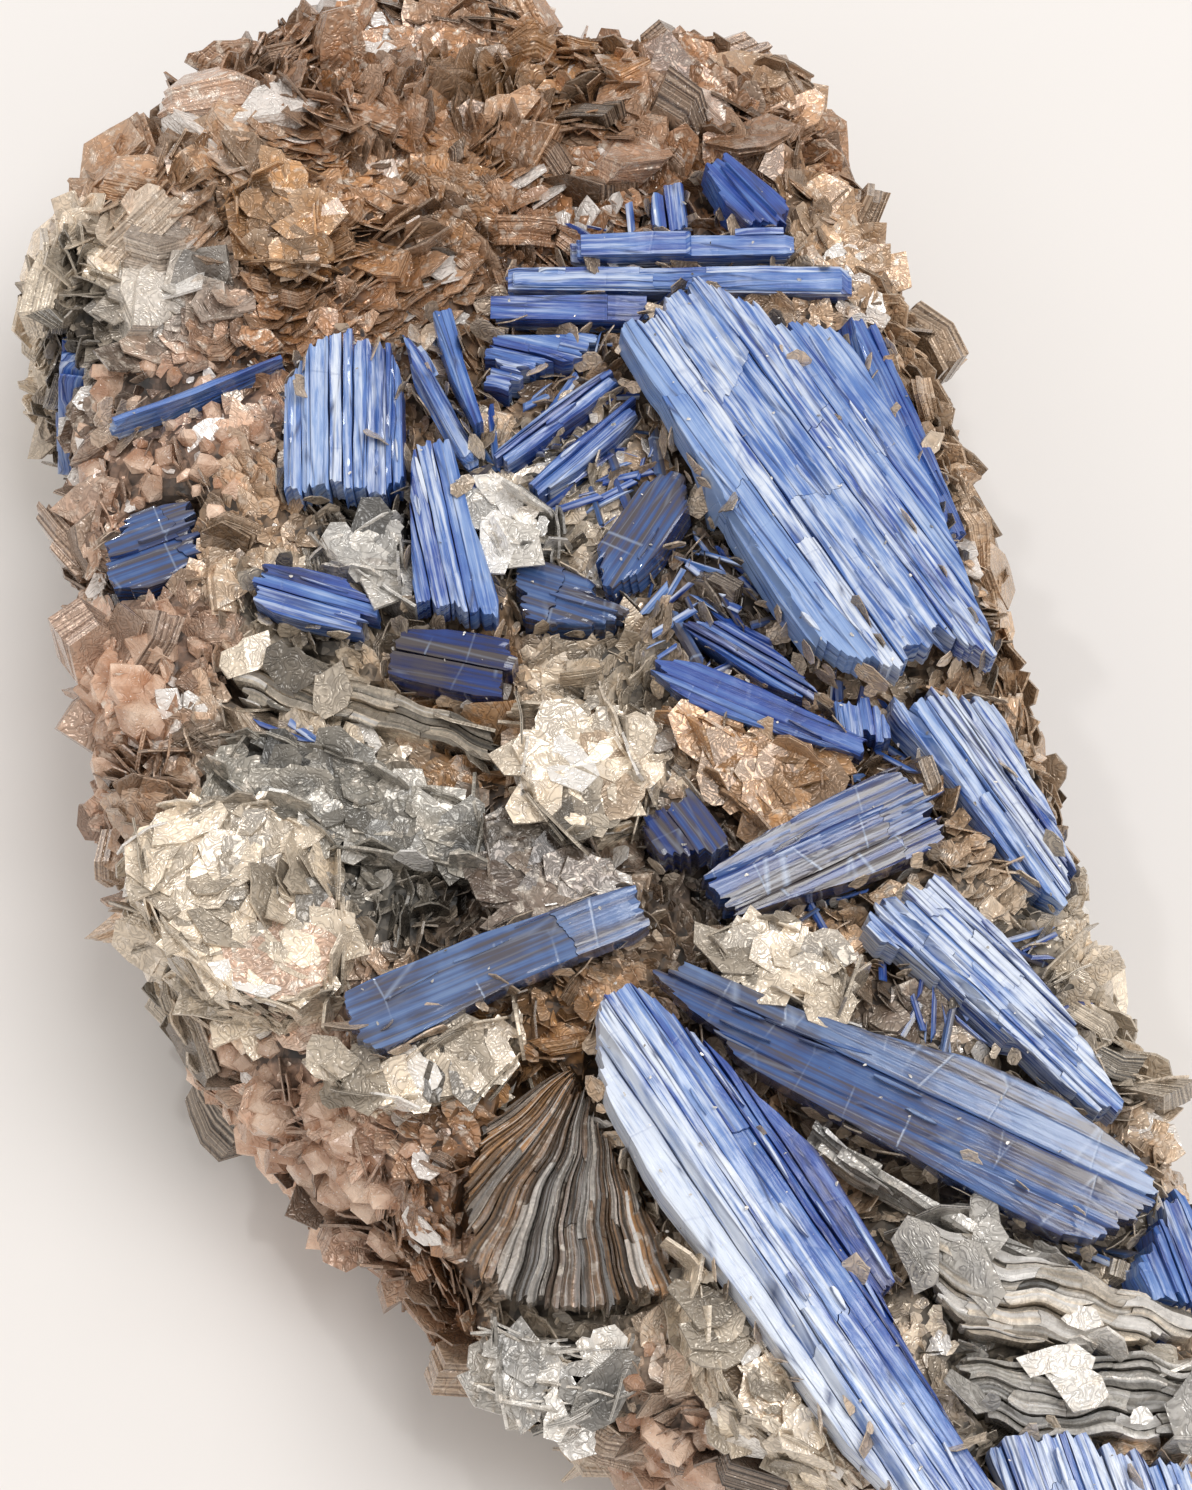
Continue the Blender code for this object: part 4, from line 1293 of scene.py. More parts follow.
def chip(rng):
    """A broken bit of blade: a slanted four-sided bar, one unit long."""
    width, high, slant = rng.uniform(0.07, 0.22), rng.uniform(0.03, 0.09), rng.uniform(-0.3, 0.3)
    points = []
    for end in (-0.5, 0.5):
        for y, z in CHIP_PROFILE:
            points.append((end + slant * y * (1 if end > 0 else -0.6), width / 2 * y, high * z))
    faces = [(3, 2, 1, 0), (4, 5, 6, 7)]
    for k in range(4):
        after = (k + 1) % 4
        faces.append((k, after, after + 4, k + 4))
    # A chip's blue and its pearly sheen, which the blade finish paints in white as a highlight
    return np.array(points), faces, {"deep": rng.uniform(0.35, 0.85), "frost": rng.uniform(0.1, 0.45)}


# The rings of a grain's corners: their height, size and number
GRAIN_RINGS = ((-0.5, 0.3, 3), (0.0, 0.52, 6), (0.45, 0.34, 4))


def grain(rng):
    """An angular lump, one unit wide."""
    points = []
    squash = rng.uniform(0.6, 1.0)
    for level, size, count in GRAIN_RINGS:
        turn = rng.uniform(0, math.tau)
        for k in range(count):
            angle = turn + math.tau * (k + rng.uniform(-0.25, 0.25)) / count
            reach = size * rng.uniform(0.8, 1.15)
            height = level * rng.uniform(0.6, 1.0)
            points.append((reach * math.cos(angle), squash * reach * math.sin(angle), height))
    edit = bmesh.new()
    for point in points:
        edit.verts.new(point)
    bmesh.ops.convex_hull(edit, input=edit.verts)
    bmesh.ops.delete(edit, geom=[v for v in edit.verts if not v.link_faces], context="VERTS")
    bmesh.ops.recalc_face_normals(edit, faces=edit.faces)
    edit.verts.index_update()
    made = np.array([vertex.co for vertex in edit.verts])
    faces = [tuple(vertex.index for vertex in face.verts) for face in edit.faces]
    edit.free()
    return made, faces, {"rim": 0.0}


def model_shapes(name, count, make, seed):
    """A collection of small shapes to be scattered."""
    kept = bpy.data.collections.new(name)
    for k in range(count):
        shape = Shape()
        points, faces, values = make(np.random.default_rng(seed + k))
        shape.add(points, faces, points[:, :2] * 3 * MM, **values)
        kept.objects.link(bpy.data.objects.new(f"{name}_{k}", shape.mesh(f"{name}_{k}")))
    return kept


def drop_models(collection):
    for thing in list(collection.objects):
        mesh = thing.data
        bpy.data.objects.remove(thing)
        bpy.data.meshes.remove(mesh)
    bpy.data.collections.remove(collection)


def part_of_surface(skin, keep):
    """A copy of the skin with only the faces whose middle passes the test."""
    edit = bmesh.new()
    edit.from_mesh(skin)
    gone = [face for face in edit.faces if not keep(face.calc_center_median(), face.normal)]
    bmesh.ops.delete(edit, geom=gone, context="FACES")
    mesh = bpy.data.meshes.new("surface")
    edit.to_mesh(mesh)
    edit.free()
    return mesh


def is_top(place, normal):
    return place.z > 0.7 * BLOCK_TOP and normal.z > 0.25


# Where the areas below meet, in metres from the middle towards the far end
TOP_FAR = 0.040
TOP_NEAR = -0.004
WALL_NEAR = -0.010
# The parts of the rock's surface that carry scattered books, each its own piece
SCATTER_AREAS = {
    "top_far": lambda p, n: is_top(p, n) and p.y > TOP_FAR,
    "top_middle": lambda p, n: is_top(p, n) and TOP_NEAR < p.y <= TOP_FAR,
    "top_near": lambda p, n: is_top(p, n) and p.y <= TOP_NEAR,
    "wall_left": lambda p, n: not is_top(p, n) and p.x + 0.5 * p.y < 0 and p.y > WALL_NEAR,
    "wall_right": lambda p, n: not is_top(p, n) and p.x + 0.5 * p.y >= 0 and p.y > WALL_NEAR,
    "wall_near": lambda p, n: not is_top(p, n) and p.y <= WALL_NEAR,
}


# A kind of scattered thing: its width in millimetres, how far apart as a share of it, least and most size,
# how much things in a cell lean together, how much each strays from that, how deep it sits and how many cells
# there are in a metre
Kind = namedtuple("Kind", "size apart small large lean stray sink cells")
SCATTERED = {
    "mica_chunks": Kind(6.4, 0.5, 0.35, 1.15, 0.8, 0.25, -0.02, 150),
    "mica_sheets": Kind(3.4, 0.2, 0.25, 1.5, 0.9, 0.12, -0.04, 170),
    "mica_flakes": Kind(1.6, 0.56, 0.4, 1.5, 0.8, 0.5, 0.0, 300),
}
QUARTZ = Kind(3.4, 0.4, 0.35, 1.4, 0.7, 0.9, 0.0, 200)
SHINGLE = Kind(4.6, 0.17, 0.15, 1.1, 0.2, 0.08, -0.03, 260)
STACKED = Kind(4.4, 0.2, 0.25, 1.2, 0.5, 0.12, -0.04, 170)
CRUMB = Kind(1.8, 0.6, 0.35, 1.4, 0.8, 0.4, -0.05, 330)
SPECK = Kind(0.18, 12.0, 0.4, 1.8, 0.3, 0.7, -0.1, 900)
BLADE_CHIP = Kind(5.5, 0.17, 0.25, 1.3, 0.35, 0.08, -0.2, 150)
SHARD = Kind(8.5, 0.26, 0.4, 1.1, 0.35, 0.06, -0.14, 120)
# How much wider things lie apart on the walls, how many places are tried in a square of the spacing and by
# what share there are fewer books on the quartz
WALL_APART = 1.3
PACKED = 1.6
FEWER_ON_QUARTZ = 0.6


def scatter_kind(tree, surface, things, kind, seed, finish, name, apart=1.0):
    """Scatters one kind of thing on a surface and finishes it as a piece."""
    spacing = kind.size * MM * kind.apart * apart
    mesh = scatter(
        tree, surface, things, Spacing=spacing, Density=PACKED / spacing**2,
        Smallest=kind.small * kind.size * MM, Largest=kind.large * kind.size * MM, Lean=kind.lean,
        Stray=kind.stray, Sink=-kind.sink * kind.size * MM, Cells=float(kind.cells), Seed=seed, Finish=finish)
    return finish_piece(mesh, name, finish)


def quartz_share(points):
    """How much of the rock is quartz at each point: the pink regions."""
    share = np.zeros(len(points))
    for region in REGIONS:
        if region.colour == "pink":
            away = np.hypot(points[:, 0] - region.place[0] * MM, points[:, 1] - region.place[1] * MM)
            share = np.maximum(share, np.clip(2.2 - 1.7 * away / (region.radius * MM), 0, 1))
    return share


def change_cover(surface, factor):
    """Multiplies how thickly a surface is covered."""
    found = np.empty(len(surface.vertices), dtype=np.float32)
    surface.attributes["cover"].data.foreach_get("value", found)
    surface.attributes["cover"].data.foreach_set("value", (found * factor).astype(np.float32))
    return surface


def make_scatter(tree, skin, finish):
    """Chunks, sheets and flakes of mica over the rock, one piece for each area and kind."""
    shapes = {
        "mica_chunks": model_shapes("chunk", 12, lambda rng: chunk(rng, sheets=4, spokes=7, step=0.11), 500),
        "mica_sheets": model_shapes("sheet", 16, lambda rng: sheet(rng, curl=0.3), 600),
        "mica_flakes": model_shapes("flake", 10, lambda rng: sheet(rng, curl=0.3), 700),
    }
    for order, (area, keep) in enumerate(SCATTER_AREAS.items()):
        apart = WALL_APART if area.startswith("wall") else 1.0
        for salt, (name, kind) in enumerate(SCATTERED.items()):
            surface = part_of_surface(skin, keep)
            change_cover(surface, 1 - FEWER_ON_QUARTZ * quartz_share(read_vertices(surface)))
            seed = 10 * salt + order
            scatter_kind(tree, surface, shapes[name], kind, seed, finish, f"{name}_{area}", apart)
    for shape in shapes.values():
        drop_models(shape)


def litter_mesh(skin):
    """The top of the rock where broken bits of blade lie."""
    surface = part_of_surface(skin, is_top)
    points = read_vertices(surface)
    cover = np.zeros(len(points))
    for litter in LITTERS:
        away = np.hypot(points[:, 0] - litter.place[0] * MM, points[:, 1] - litter.place[1] * MM)
        cover = np.maximum(cover, np.clip(1.6 - 1.6 * away / (litter.radius * MM), 0, 1))
    return change_cover(surface, cover)


def make_dusting(tree, skin, mica_look, blade_look, quartz_look):
    """Thin flakes on the mica, specks and crumbs at the blades, quartz grains and broken bits of blade."""
    sheets = model_shapes("shingle", 14, lambda rng: sheet(rng, curl=0.12), 800)
    sheeted = [node for node in crystal_nodes("mica") if MICA_LOOKS[node].form == "sheets"]
    books = marked_solids(sheeted, lambda node: mica_colour(MICA_LOOKS[node].colour))
    scatter_kind(tree, books, sheets, SHINGLE, 77, mica_look, "mica_shingles")
    edged = [node for node in crystal_nodes("mica") if MICA_LOOKS[node].form == "edges"]
    stacks = marked_solids(edged, lambda node: mica_colour(MICA_LOOKS[node].colour), 0.1)
    scatter_kind(tree, stacks, sheets, STACKED, 83, mica_look, "mica_stack_sheets")
    blades = marked_solids(crystal_nodes("kyanite"), lambda node: mica_colour("silver"))
    scatter_kind(tree, blades, sheets, SPECK, 78, mica_look, "mica_specks")
    feet = foot_of_solids([node for node in crystal_nodes("kyanite") if "wall" not in node])
    scatter_kind(tree, feet, sheets, CRUMB, 81, mica_look, "mica_crumbs")
    drop_models(sheets)
    grains = model_shapes("grain", 12, grain, 950)
    surface = part_of_surface(skin, lambda p, n: True)
    change_cover(surface, quartz_share(read_vertices(surface)))
    scatter_kind(tree, surface, grains, QUARTZ, 80, quartz_look, "quartz_grains")
    drop_models(grains)
    chips = model_shapes("chip", 12, chip, 900)
    clear = bpy.data.materials["kyanite clear"]
    scatter_kind(tree, litter_mesh(skin), chips, BLADE_CHIP, 79, blade_look, "kyanite_chips")
    scatter_kind(tree, litter_mesh(skin), chips, SHARD, 82, clear, "kyanite_shards")
    drop_models(chips)


# Finishes


def shared(name, make, *given):
    """A material or shader group by name, made the first time that it is asked for."""
    for store in (bpy.data.materials, bpy.data.node_groups):
        if name in store:
            return store[name]
    return make(*given)


def new_material(name):
    made = bpy.data.materials.new(name)
    made.use_nodes = True
    return made, made.node_tree, made.node_tree.nodes["Principled BSDF"]


def mix_of(tree, share, first, second, blend="MIX"):
    mixed = add_node(
        tree, "ShaderNodeMix", {"Factor": share, "A": first, "B": second}, data_type="RGBA",
        blend_type=blend)
    return output(mixed)


def spread_of(tree, value, low, high, new_low=0.0, new_high=1.0):
    return output(add_node(
        tree, "ShaderNodeMapRange",
        {"Value": value, "From Min": low, "From Max": high, "To Min": new_low, "To Max": new_high}))


def value_of(tree, name):
    return output(add_node(tree, "ShaderNodeAttribute", attribute_name=name), "Fac")


def colour_of(tree, name):
    return output(add_node(tree, "ShaderNodeAttribute", attribute_name=name), "Color")


def group_with(name, inputs, outputs):
    """An empty shader group, its input values by name, and a way to give its outputs."""
    tree = bpy.data.node_groups.new(name, "ShaderNodeTree")
    for label, kind, default in inputs:
        socket = tree.interface.new_socket(name=label, in_out="INPUT", socket_type=kind)
        if default is not None:
            socket.default_value = default
    for label, kind in outputs:
        tree.interface.new_socket(name=label, in_out="OUTPUT", socket_type=kind)
    given = tree.nodes.new("NodeGroupInput")
    result = tree.nodes.new("NodeGroupOutput")
    return tree, {s.name: s for s in given.outputs if s.name}, result


# A kind of streak: its share of the scale along and across, and its detail
STREAKS = (("Broad", 0.35, 0.35, 2.0), ("Fine", 1.0, 1.0, 3.0), ("Patch", 2.3, 0.42, 3.0))


def stretched(tree, place, along, across):
    """A place on a blade's surface, scaled along and across it."""
    scale = add_node(tree, "ShaderNodeCombineXYZ", {"X": along, "Y": across})
    return vector_of(tree, "MULTIPLY", place, output(scale))


def streak_group():
    """Striations along a crystal: broad and fine streaks, and short patches."""
    tree, given, result = group_with(
        "Striations",
        [("Vector", "NodeSocketVector", None), ("Along", "NodeSocketFloat", 60.0),
         ("Across", "NodeSocketFloat", 1800.0)],
        [(label, "NodeSocketFloat") for label, *_ in STREAKS])
    for label, along, across, detail in STREAKS:
        along, across = product_of(tree, given["Along"], along), product_of(tree, given["Across"], across)
        place = stretched(tree, given["Vector"], along, across)
        streak = add_node(
            tree, "ShaderNodeTexNoise",
            {"Vector": place, "Scale": 1.0, "Detail": detail, "Roughness": 0.6})
        tree.links.new(streak.outputs[0], result.inputs[label])
    return tree


def mottle_group():
    """Soft blotches, small specks, crinkled folds and grains in the mineral's own space."""
    tree, given, result = group_with(
        "Mottle",
        [("Vector", "NodeSocketVector", None), ("Scale", "NodeSocketFloat", 250.0)],
        [(label, "NodeSocketFloat") for label in ("Blotch", "Speck", "Crinkle", "Grain")])
    place, scale = given["Vector"], given["Scale"]
    blotch = add_node(tree, "ShaderNodeTexNoise", {"Vector": place, "Scale": scale, "Detail": 3.0})
    folds = add_node(
        tree, "ShaderNodeTexNoise",
        {"Vector": place, "Scale": product_of(tree, scale, 2.6), "Detail": 1.5, "Distortion": 2.2})
    ridge = math_of(tree, "ABSOLUTE", math_of(tree, "SUBTRACT", folds.outputs[0], 0.5))
    fine = add_node(tree, "ShaderNodeTexVoronoi", {"Vector": place, "Scale": product_of(tree, scale, 6.0)})
    grains = add_node(tree, "ShaderNodeTexVoronoi", {"Vector": place, "Scale": product_of(tree, scale, 1.6)})
    give(tree, result, {
        "Blotch": blotch.outputs[0],
        "Speck": spread_of(tree, fine.outputs["Distance"], 0.16, 0.06),
        "Crinkle": spread_of(tree, ridge, 0.0, 0.12),
        "Grain": grains.outputs["Color"],
    })
    return tree


def crack_group():
    """Thin cracks, mostly across the crystal, as a value that is 1 on a crack."""
    tree, given, result = group_with(
        "Cracks",
        [("Vector", "NodeSocketVector", None), ("Along", "NodeSocketFloat", 210.0),
         ("Across", "NodeSocketFloat", 75.0), ("Width", "NodeSocketFloat", 0.02)],
        [("Crack", "NodeSocketFloat")])
    place = stretched(tree, given["Vector"], given["Along"], given["Across"])
    cells = add_node(
        tree, "ShaderNodeTexVoronoi", {"Vector": place, "Scale": 1.0}, feature="DISTANCE_TO_EDGE")
    give(tree, result, {"Crack": spread_of(tree, cells.outputs["Distance"], given["Width"], 0.0)})
    return tree


def use_group(tree, group, **inputs):
    node = tree.nodes.new("ShaderNodeGroup")
    node.node_tree = group
    give(tree, node, inputs)
    return node.outputs


def mottle_of(tree, scale):
    place = output(add_node(tree, "ShaderNodeTexCoord"), "Object")
    return use_group(tree, shared("Mottle", mottle_group), Vector=place, Scale=scale)


def give_relief(tree, shader, relief, strength, millimetres):
    """Lets a height pattern bend the surface's light."""
    bump = add_node(
        tree, "ShaderNodeBump", {"Height": relief, "Strength": strength, "Distance": millimetres * MM})
    tree.links.new(bump.outputs[0], shader.inputs["Normal"])


# How a clear and a solid blade differ: how strongly patches show where there is little and much painted
# pearly sheen, the most painted pearly sheen, how strongly cracks and seams show and in what colour, the
# least and most roughness, how high patches stand, how strong all relief is, and how glassy the blade is
BladeFinish = namedtuple(
    "BladeFinish", "worn frost crack crack_colour seam seam_colour rough patch relief ior coat transmission")
CLEAR = BladeFinish(
    worn=(0.0, 0.0), frost=0.3, crack=0.7, crack_colour=(0.5, 0.62, 0.85, 1), seam=0.35,
    seam_colour=(0.42, 0.5, 0.66, 1), rough=(0.06, 0.14), patch=0.2, relief=0.13, ior=1.6, coat=0.1,
    transmission=0.4)
SOLID = BladeFinish(
    worn=(0.25, 1.0), frost=0.95, crack=0.3, crack_colour=(0.05, 0.11, 0.32, 1), seam=0.9,
    seam_colour=(0.025, 0.05, 0.15, 1), rough=(0.22, 0.42), patch=2.0, relief=0.75, ior=1.72, coat=0.25,
    transmission=0.0)


def blade_cracks(tree, form, surface, streak, blotch):
    """The cracks across a blade and the seams along it."""
    cracks = shared("Cracks", crack_group)
    crack = use_group(tree, cracks, Vector=surface)["Crack"]
    seam = use_group(tree, cracks, Vector=surface, Along=75.0, Across=900.0, Width=0.05)["Crack"]
    crack = product_of(tree, crack, spread_of(tree, blotch, 0.42, 0.62, 0.0, form.crack))
    seam = product_of(tree, seam, spread_of(tree, streak["Broad"], 0.42, 0.6, 0.0, form.seam))
    return crack, seam


def blade_blue(tree, streak, blotch, patch):
    """From pale blue to indigo by how deep the blade is at each place, with streaks and blotches."""
    look = settings().kyanite
    deep = total_of(
        tree, value_of(tree, "deep"), spread_of(tree, streak["Broad"], 0.3, 0.7, -0.2, 0.2),
        spread_of(tree, blotch, 0.3, 0.7, -0.16, 0.16), spread_of(tree, streak["Fine"], 0.3, 0.7, 0.1, -0.1),
        product_of(tree, patch, 0.2))
    ramp = add_node(tree, "ShaderNodeValToRGB", {"Fac": deep})
    stops = ramp.color_ramp.elements
    stops[0].position = 0.1
    stops[0].color = (*look.pale, 1)
    stops[1].position = 1.0
    stops[1].color = (*look.indigo, 1)
    for position, colour in ((0.45, look.blue), (0.76, look.deep)):
        stops.new(position).color = (*colour, 1)
    return ramp.outputs[0]


def with_pearly_sheen(tree, form, streak, patch, colour):
    """The blade's colour with white painted along its laths as their pearly sheen, a painted highlight."""
    frost = total_of(
        tree, value_of(tree, "frost"), spread_of(tree, streak["Fine"], 0.3, 0.7, -0.25, 0.25),
        product_of(tree, patch, -0.4))
    frost = spread_of(tree, frost, 0.2, 0.85, 0.0, form.frost)
    return mix_of(tree, frost, colour, (*settings().kyanite.frost, 1))


def smoked(tree, streak, blotch, colour):
    """The colour of a clear blade with smoky streaks in it."""
    mixed = total_of(tree, product_of(tree, blotch, 0.5), streak["Broad"])
    smoke = spread_of(tree, mixed, 0.66, 0.86, 0.05, 0.85)
    return mix_of(tree, smoke, colour, (*settings().kyanite.smoky, 1))


def kyanite_finish(name, form):
    """Blue kyanite: striated, with a pearly sheen painted in white along the laths as highlight."""
    made, tree, shader = new_material(name)
    surface = output(add_node(tree, "ShaderNodeUVMap", uv_map="UVMap"))
    streak = use_group(tree, shared("Striations", streak_group), Vector=surface, Along=90.0, Across=5200.0)
    blotch = mottle_of(tree, 260.0)["Blotch"]
    crack, seam = blade_cracks(tree, form, surface, streak, blotch)
    # Patches vary the blue and the painted pearly sheen, the more so where that painted sheen is greater
    worn = spread_of(tree, value_of(tree, "frost"), 0.1, 0.5, *form.worn)
    patch = product_of(tree, spread_of(tree, streak["Patch"], 0.35, 0.65, 1.0, -1.0), worn)
    colour = blade_blue(tree, streak, blotch, patch)
    if form is CLEAR:
        colour = smoked(tree, streak, blotch, colour)
    # White painted over the blue as the blade's pearly sheen, a painted highlight
    colour = with_pearly_sheen(tree, form, streak, patch, colour)
    colour = mix_of(tree, crack, colour, form.crack_colour)
    colour = mix_of(tree, seam, colour, form.seam_colour)
    tree.links.new(colour, shader.inputs["Base Color"])
    tree.links.new(spread_of(tree, streak["Fine"], 0.3, 0.7, *form.rough), shader.inputs["Roughness"])
    relief = total_of(
        tree, streak["Fine"], product_of(tree, streak["Broad"], 1.6), product_of(tree, crack, -0.8),
        product_of(tree, seam, -1.2), product_of(tree, streak["Patch"], form.patch))
    give_relief(tree, shader, relief, form.relief, 0.09)
    shader.inputs["IOR"].default_value = form.ior
    shader.inputs["Coat Weight"].default_value = form.coat
    shader.inputs["Coat Roughness"].default_value = 0.12
    shader.inputs["Transmission Weight"].default_value = form.transmission
    return made


# White on the torn rims, and painted highlights: pearly glints on spots and the white of the few sheets that
# flash
RIM_COLOUR = (0.95, 0.85, 0.7, 1)
PAINTED_GLINT_COLOUR = (0.88, 0.79, 0.68, 1)
FLASH_COLOUR = (0.86, 0.84, 0.81, 1)


def rock_look(tree, body, blot, small, relief):
    """(colour, relief) of the rock between the sheets: grains, some light and most dark, in painted crevice
    shade.
    """
    grains = total_of(tree, blot["Grain"], product_of(tree, small["Grain"], 0.5))
    # Painted shade: the rock is darkened as the shade in the crevices between sheets, and most where its
    # relief is low
    shade = product_of(
        tree, spread_of(tree, relief, 0.7, 1.3, 0.04, 0.38), spread_of(tree, grains, 0.4, 1.1, 0.4, 2.4))
    colour = mix_of(tree, 1.0, body, shade, "MULTIPLY")
    return colour, total_of(tree, relief, product_of(tree, grains, 0.8))


def sheet_lines(tree, blot, tint):
    """Fine lines on the sides of a book, which follow the height of its sheets."""
    height = total_of(
        tree, product_of(tree, value_of(tree, "layer"), 3.7), product_of(tree, tint, 90.0),
        spread_of(tree, blot["Blotch"], 0.0, 1.0, 0.0, 0.35))
    lines = add_node(
        tree, "ShaderNodeTexNoise", {"W": height, "Scale": 1.0, "Detail": 2.0}, noise_dimensions="1D")
    return lines.outputs[0]


def sheet_look(tree, body, blot, small, relief):
    """(colour, relief) of sheets: by tint, lined, crinkled with painted shade in creases, painted glints and
    flashes.
    """
    tint = value_of(tree, "tint")
    lines = sheet_lines(tree, blot, tint)
    # Painted shade: the creases of the crinkles, low in the relief, are painted darker
    shade = product_of(
        tree, spread_of(tree, tint, 0.0, 1.0, 0.03, 1.8),
        spread_of(tree, blot["Blotch"], 0.3, 0.7, 0.7, 1.25),
        spread_of(tree, blot["Crinkle"], 0.0, 1.0, 0.72, 1.04), spread_of(tree, lines, 0.3, 0.7, 0.6, 1.3))
    colour = mix_of(tree, 1.0, body, shade, "MULTIPLY")
    rim = product_of(tree, value_of(tree, "rim"), spread_of(tree, lines, 0.4, 0.7, 0.0, 0.5))
    colour = mix_of(tree, rim, colour, mix_of(tree, 0.5, body, RIM_COLOUR))
    # Painted highlight: pearly glints painted in spots on the brighter sheets
    painted_glint = product_of(
        tree, spread_of(tree, small["Blotch"], 0.52, 0.66, 0.0, 0.75), spread_of(tree, tint, 0.35, 0.75))
    colour = mix_of(tree, painted_glint, colour, PAINTED_GLINT_COLOUR)
    # Painted highlight: the brightest sheets are painted near white, as if they flashed in the light
    colour = mix_of(tree, spread_of(tree, tint, 0.86, 0.9, 0.0, 0.85), colour, FLASH_COLOUR)
    return colour, total_of(tree, relief, lines, product_of(tree, blot["Crinkle"], 0.7))


def mica_finish(name, dull):
    """Mica: pearly sheets, finely lined on their sides. The dull one is the rock between them."""
    made, tree, shader = new_material(name)
    blot, small = mottle_of(tree, 320.0), mottle_of(tree, 1300.0)
    relief = total_of(tree, small["Blotch"], blot["Blotch"])
    look = rock_look if dull else sheet_look
    colour, relief = look(tree, colour_of(tree, "body_colour"), blot, small, relief)
    tree.links.new(colour, shader.inputs["Base Color"])
    rough = spread_of(tree, small["Blotch"], 0.3, 0.7, *((0.5, 0.8) if dull else (0.1, 0.32)))
    tree.links.new(rough, shader.inputs["Roughness"])
    give_relief(tree, shader, relief, 0.6, 0.16)
    shader.inputs["IOR"].default_value = 1.62
    if not dull:
        metal = spread_of(tree, small["Blotch"], 0.35, 0.65, 0.05, 0.4)
        tree.links.new(metal, shader.inputs["Metallic"])
        shader.inputs["Coat Weight"].default_value = 0.55
        shader.inputs["Coat Roughness"].default_value = 0.16
    return made


def quartz_finish():
    """Pinkish quartz: glassy, cloudy inside, stained in blotches."""
    made, tree, shader = new_material("quartz")
    blot = mottle_of(tree, 420.0)
    stain = spread_of(tree, blot["Blotch"], 0.35, 0.65)
    colour = mix_of(tree, stain, (0.44, 0.235, 0.14, 1), (0.80, 0.60, 0.46, 1))
    tint = spread_of(tree, value_of(tree, "tint"), 0.0, 1.0, 0.65, 1.25)
    colour = mix_of(tree, 1.0, colour, tint, "MULTIPLY")
    tree.links.new(mix_of(tree, blot["Speck"], colour, (0.85, 0.78, 0.72, 1)), shader.inputs["Base Color"])
    tree.links.new(spread_of(tree, blot["Crinkle"], 0.0, 1.0, 0.35, 0.12), shader.inputs["Roughness"])
    relief = total_of(tree, blot["Blotch"], product_of(tree, blot["Crinkle"], 0.5))
    give_relief(tree, shader, relief, 0.5, 0.2)
    shader.inputs["IOR"].default_value = 1.545
    shader.inputs["Coat Weight"].default_value = 0.3
    shader.inputs["Coat Roughness"].default_value = 0.1
    return made


def floor_finish(colour):
    made, tree, shader = new_material("studio floor")
    blotch = mottle_of(tree, 18.0)["Blotch"]
    shade = spread_of(tree, blotch, 0.3, 0.7, 0.985, 1.0)
    tree.links.new(mix_of(tree, 1.0, (*colour, 1), shade, "MULTIPLY"), shader.inputs["Base Color"])
    tree.links.new(spread_of(tree, blotch, 0.3, 0.7, 0.6, 0.75), shader.inputs["Roughness"])
    shader.inputs["Specular IOR Level"].default_value = 0.15
    return made


def mica_sheets():
    return shared("mica sheets", mica_finish, "mica sheets", False)


# Stage


# The point that the camera looks at, in millimetres, and the lamps: each one's name, the setting that holds
# its power, its size and its place from that point, in metres
AIM = (-4, 4, 28)
LAMPS = (
    ("key", "key_power", 0.60, (0.38, 0.0, 1.08)),
    ("glint", "glint_power", 0.05, (-0.42, 0.62, 0.80)),
    ("fill", "fill_power", 0.35, (-0.4, -0.25, 0.4)),
)
SKY_COLOUR = (1.0, 0.95, 0.91, 1)


def add_lamp(name, power, size, place, aim):
    lamp = bpy.data.lights.new(name, "AREA")
    lamp.energy = power
    lamp.size = size
    holder = bpy.data.objects.new(name, lamp)
    bpy.context.scene.collection.objects.link(holder)
    turn = (place - aim).to_track_quat("Z", "Y").to_matrix().to_4x4()
    holder.matrix_world = Matrix.Translation(place) @ turn


def lay_floor(colour):
    bpy.ops.mesh.primitive_plane_add(size=6.0, location=(0, 0, -0.02 * MM))
    floor = bpy.context.object
    floor.name = "studio_floor"
    floor.data.materials.append(floor_finish(colour))


def sky_light(strength):
    world = bpy.data.worlds.new("studio")
    world.use_nodes = True
    sky = world.node_tree.nodes["Background"]
    sky.inputs["Color"].default_value = SKY_COLOUR
    sky.inputs["Strength"].default_value = strength
    return world


def add_camera(stage, aim):
    lens = bpy.data.cameras.new("camera")
    lens.lens = stage.lens
    lens.sensor_width = 36
    lens.clip_start = 0.01
    camera = bpy.data.objects.new("camera", lens)
    bpy.context.scene.collection.objects.link(camera)
    back = Vector((0, -math.cos(stage.elevation), math.sin(stage.elevation)))
    camera.location = aim + back * stage.distance
    camera.rotation_euler = (math.pi / 2 - stage.elevation, 0, 0)
    return camera


# Operators


class SPECIMEN_OT_blades(bpy.types.Operator):
    """Builds the plates of every kyanite crystal"""

    bl_idname = "specimen.blades"
    bl_label = "Kyanite blades"

    def execute(self, context):
        make_blades(kyanite_finish("kyanite clear", CLEAR), kyanite_finish("kyanite blue", SOLID))
        return {"FINISHED"}


class SPECIMEN_OT_mica_books(bpy.types.Operator):
    """Builds the books, fans and stacks of mica"""

    bl_idname = "specimen.mica_books"
    bl_label = "Mica books"

    def execute(self, context):
        make_mica_books(mica_sheets())
        return {"FINISHED"}


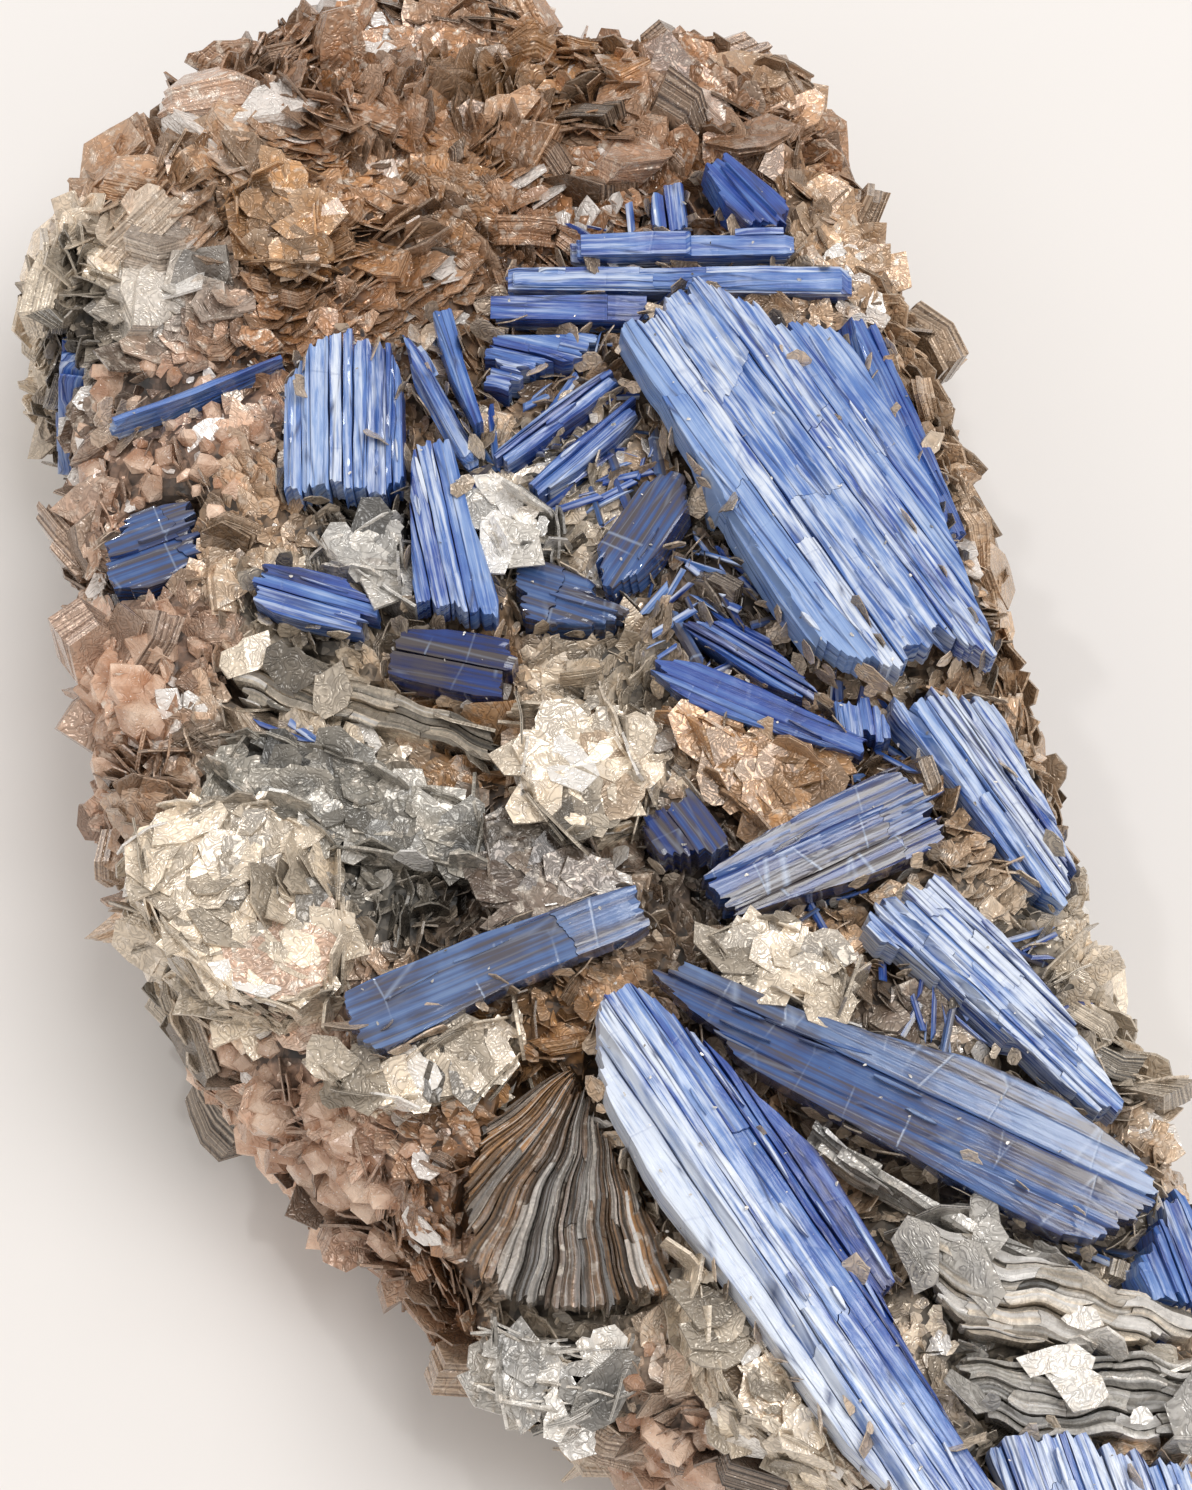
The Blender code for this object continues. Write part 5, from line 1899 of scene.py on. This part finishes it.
class SPECIMEN_OT_rock(bpy.types.Operator):
    """Builds the block of mica rock and scatters books and flakes over it"""

    bl_idname = "specimen.rock"
    bl_label = "Rock and flakes"

    def execute(self, context):
        skin = make_rock_mesh()
        mark_rock(skin)
        tree = scatter_tree()
        make_scatter(tree, skin, mica_sheets())
        make_dusting(tree, skin, mica_sheets(), bpy.data.materials["kyanite blue"], quartz_finish())
        finish = mica_finish("mica rock", True)
        rock = finish_piece(skin, "mica_rock", finish, ["mica_matrix"])
        if not rock.data.polygons:
            raise RuntimeError("the rock came out empty")
        return {"FINISHED"}


class SPECIMEN_OT_stage(bpy.types.Operator):
    """Sets the floor, the lamps and the camera"""

    bl_idname = "specimen.stage"
    bl_label = "Stage"

    def execute(self, context):
        stage = settings().stage
        aim = Vector(AIM) * MM
        lay_floor(stage.floor)
        for name, setting, size, place in LAMPS:
            add_lamp(name, getattr(stage, setting), size, aim + Vector(place), aim)
        context.scene.world = sky_light(stage.sky)
        context.scene.view_settings.view_transform = "Standard"
        context.scene.camera = add_camera(stage, aim)
        return {"FINISHED"}


class SpecimenSettings(bpy.types.PropertyGroup):
    """Everything that can be changed"""

    kyanite: PointerProperty(type=KyaniteSettings)
    mica: PointerProperty(type=MicaSettings)
    stage: PointerProperty(type=StageSettings)


STEPS = (SPECIMEN_OT_blades, SPECIMEN_OT_mica_books, SPECIMEN_OT_rock, SPECIMEN_OT_stage)


class SPECIMEN_PT_panel(bpy.types.Panel):
    """Lists the steps that build the specimen"""

    bl_label = "Kyanite Specimen"
    bl_idname = "SPECIMEN_PT_panel"
    bl_space_type = "VIEW_3D"
    bl_region_type = "UI"
    bl_category = "Kyanite"

    def draw(self, context):
        for step in STEPS:
            self.layout.operator(step.bl_idname)


CLASSES = (KyaniteSettings, MicaSettings, StageSettings, SpecimenSettings, *STEPS, SPECIMEN_PT_panel)


def register():
    for item in CLASSES:
        bpy.utils.register_class(item)
    bpy.types.Scene.kyanite_specimen = PointerProperty(type=SpecimenSettings)


def unregister():
    del bpy.types.Scene.kyanite_specimen
    for item in reversed(CLASSES):
        bpy.utils.unregister_class(item)


def main():
    register()
    bpy.ops.specimen.blades()
    bpy.ops.specimen.mica_books()
    bpy.ops.specimen.rock()
    bpy.ops.specimen.stage()


if __name__ == "__main__":
    main()
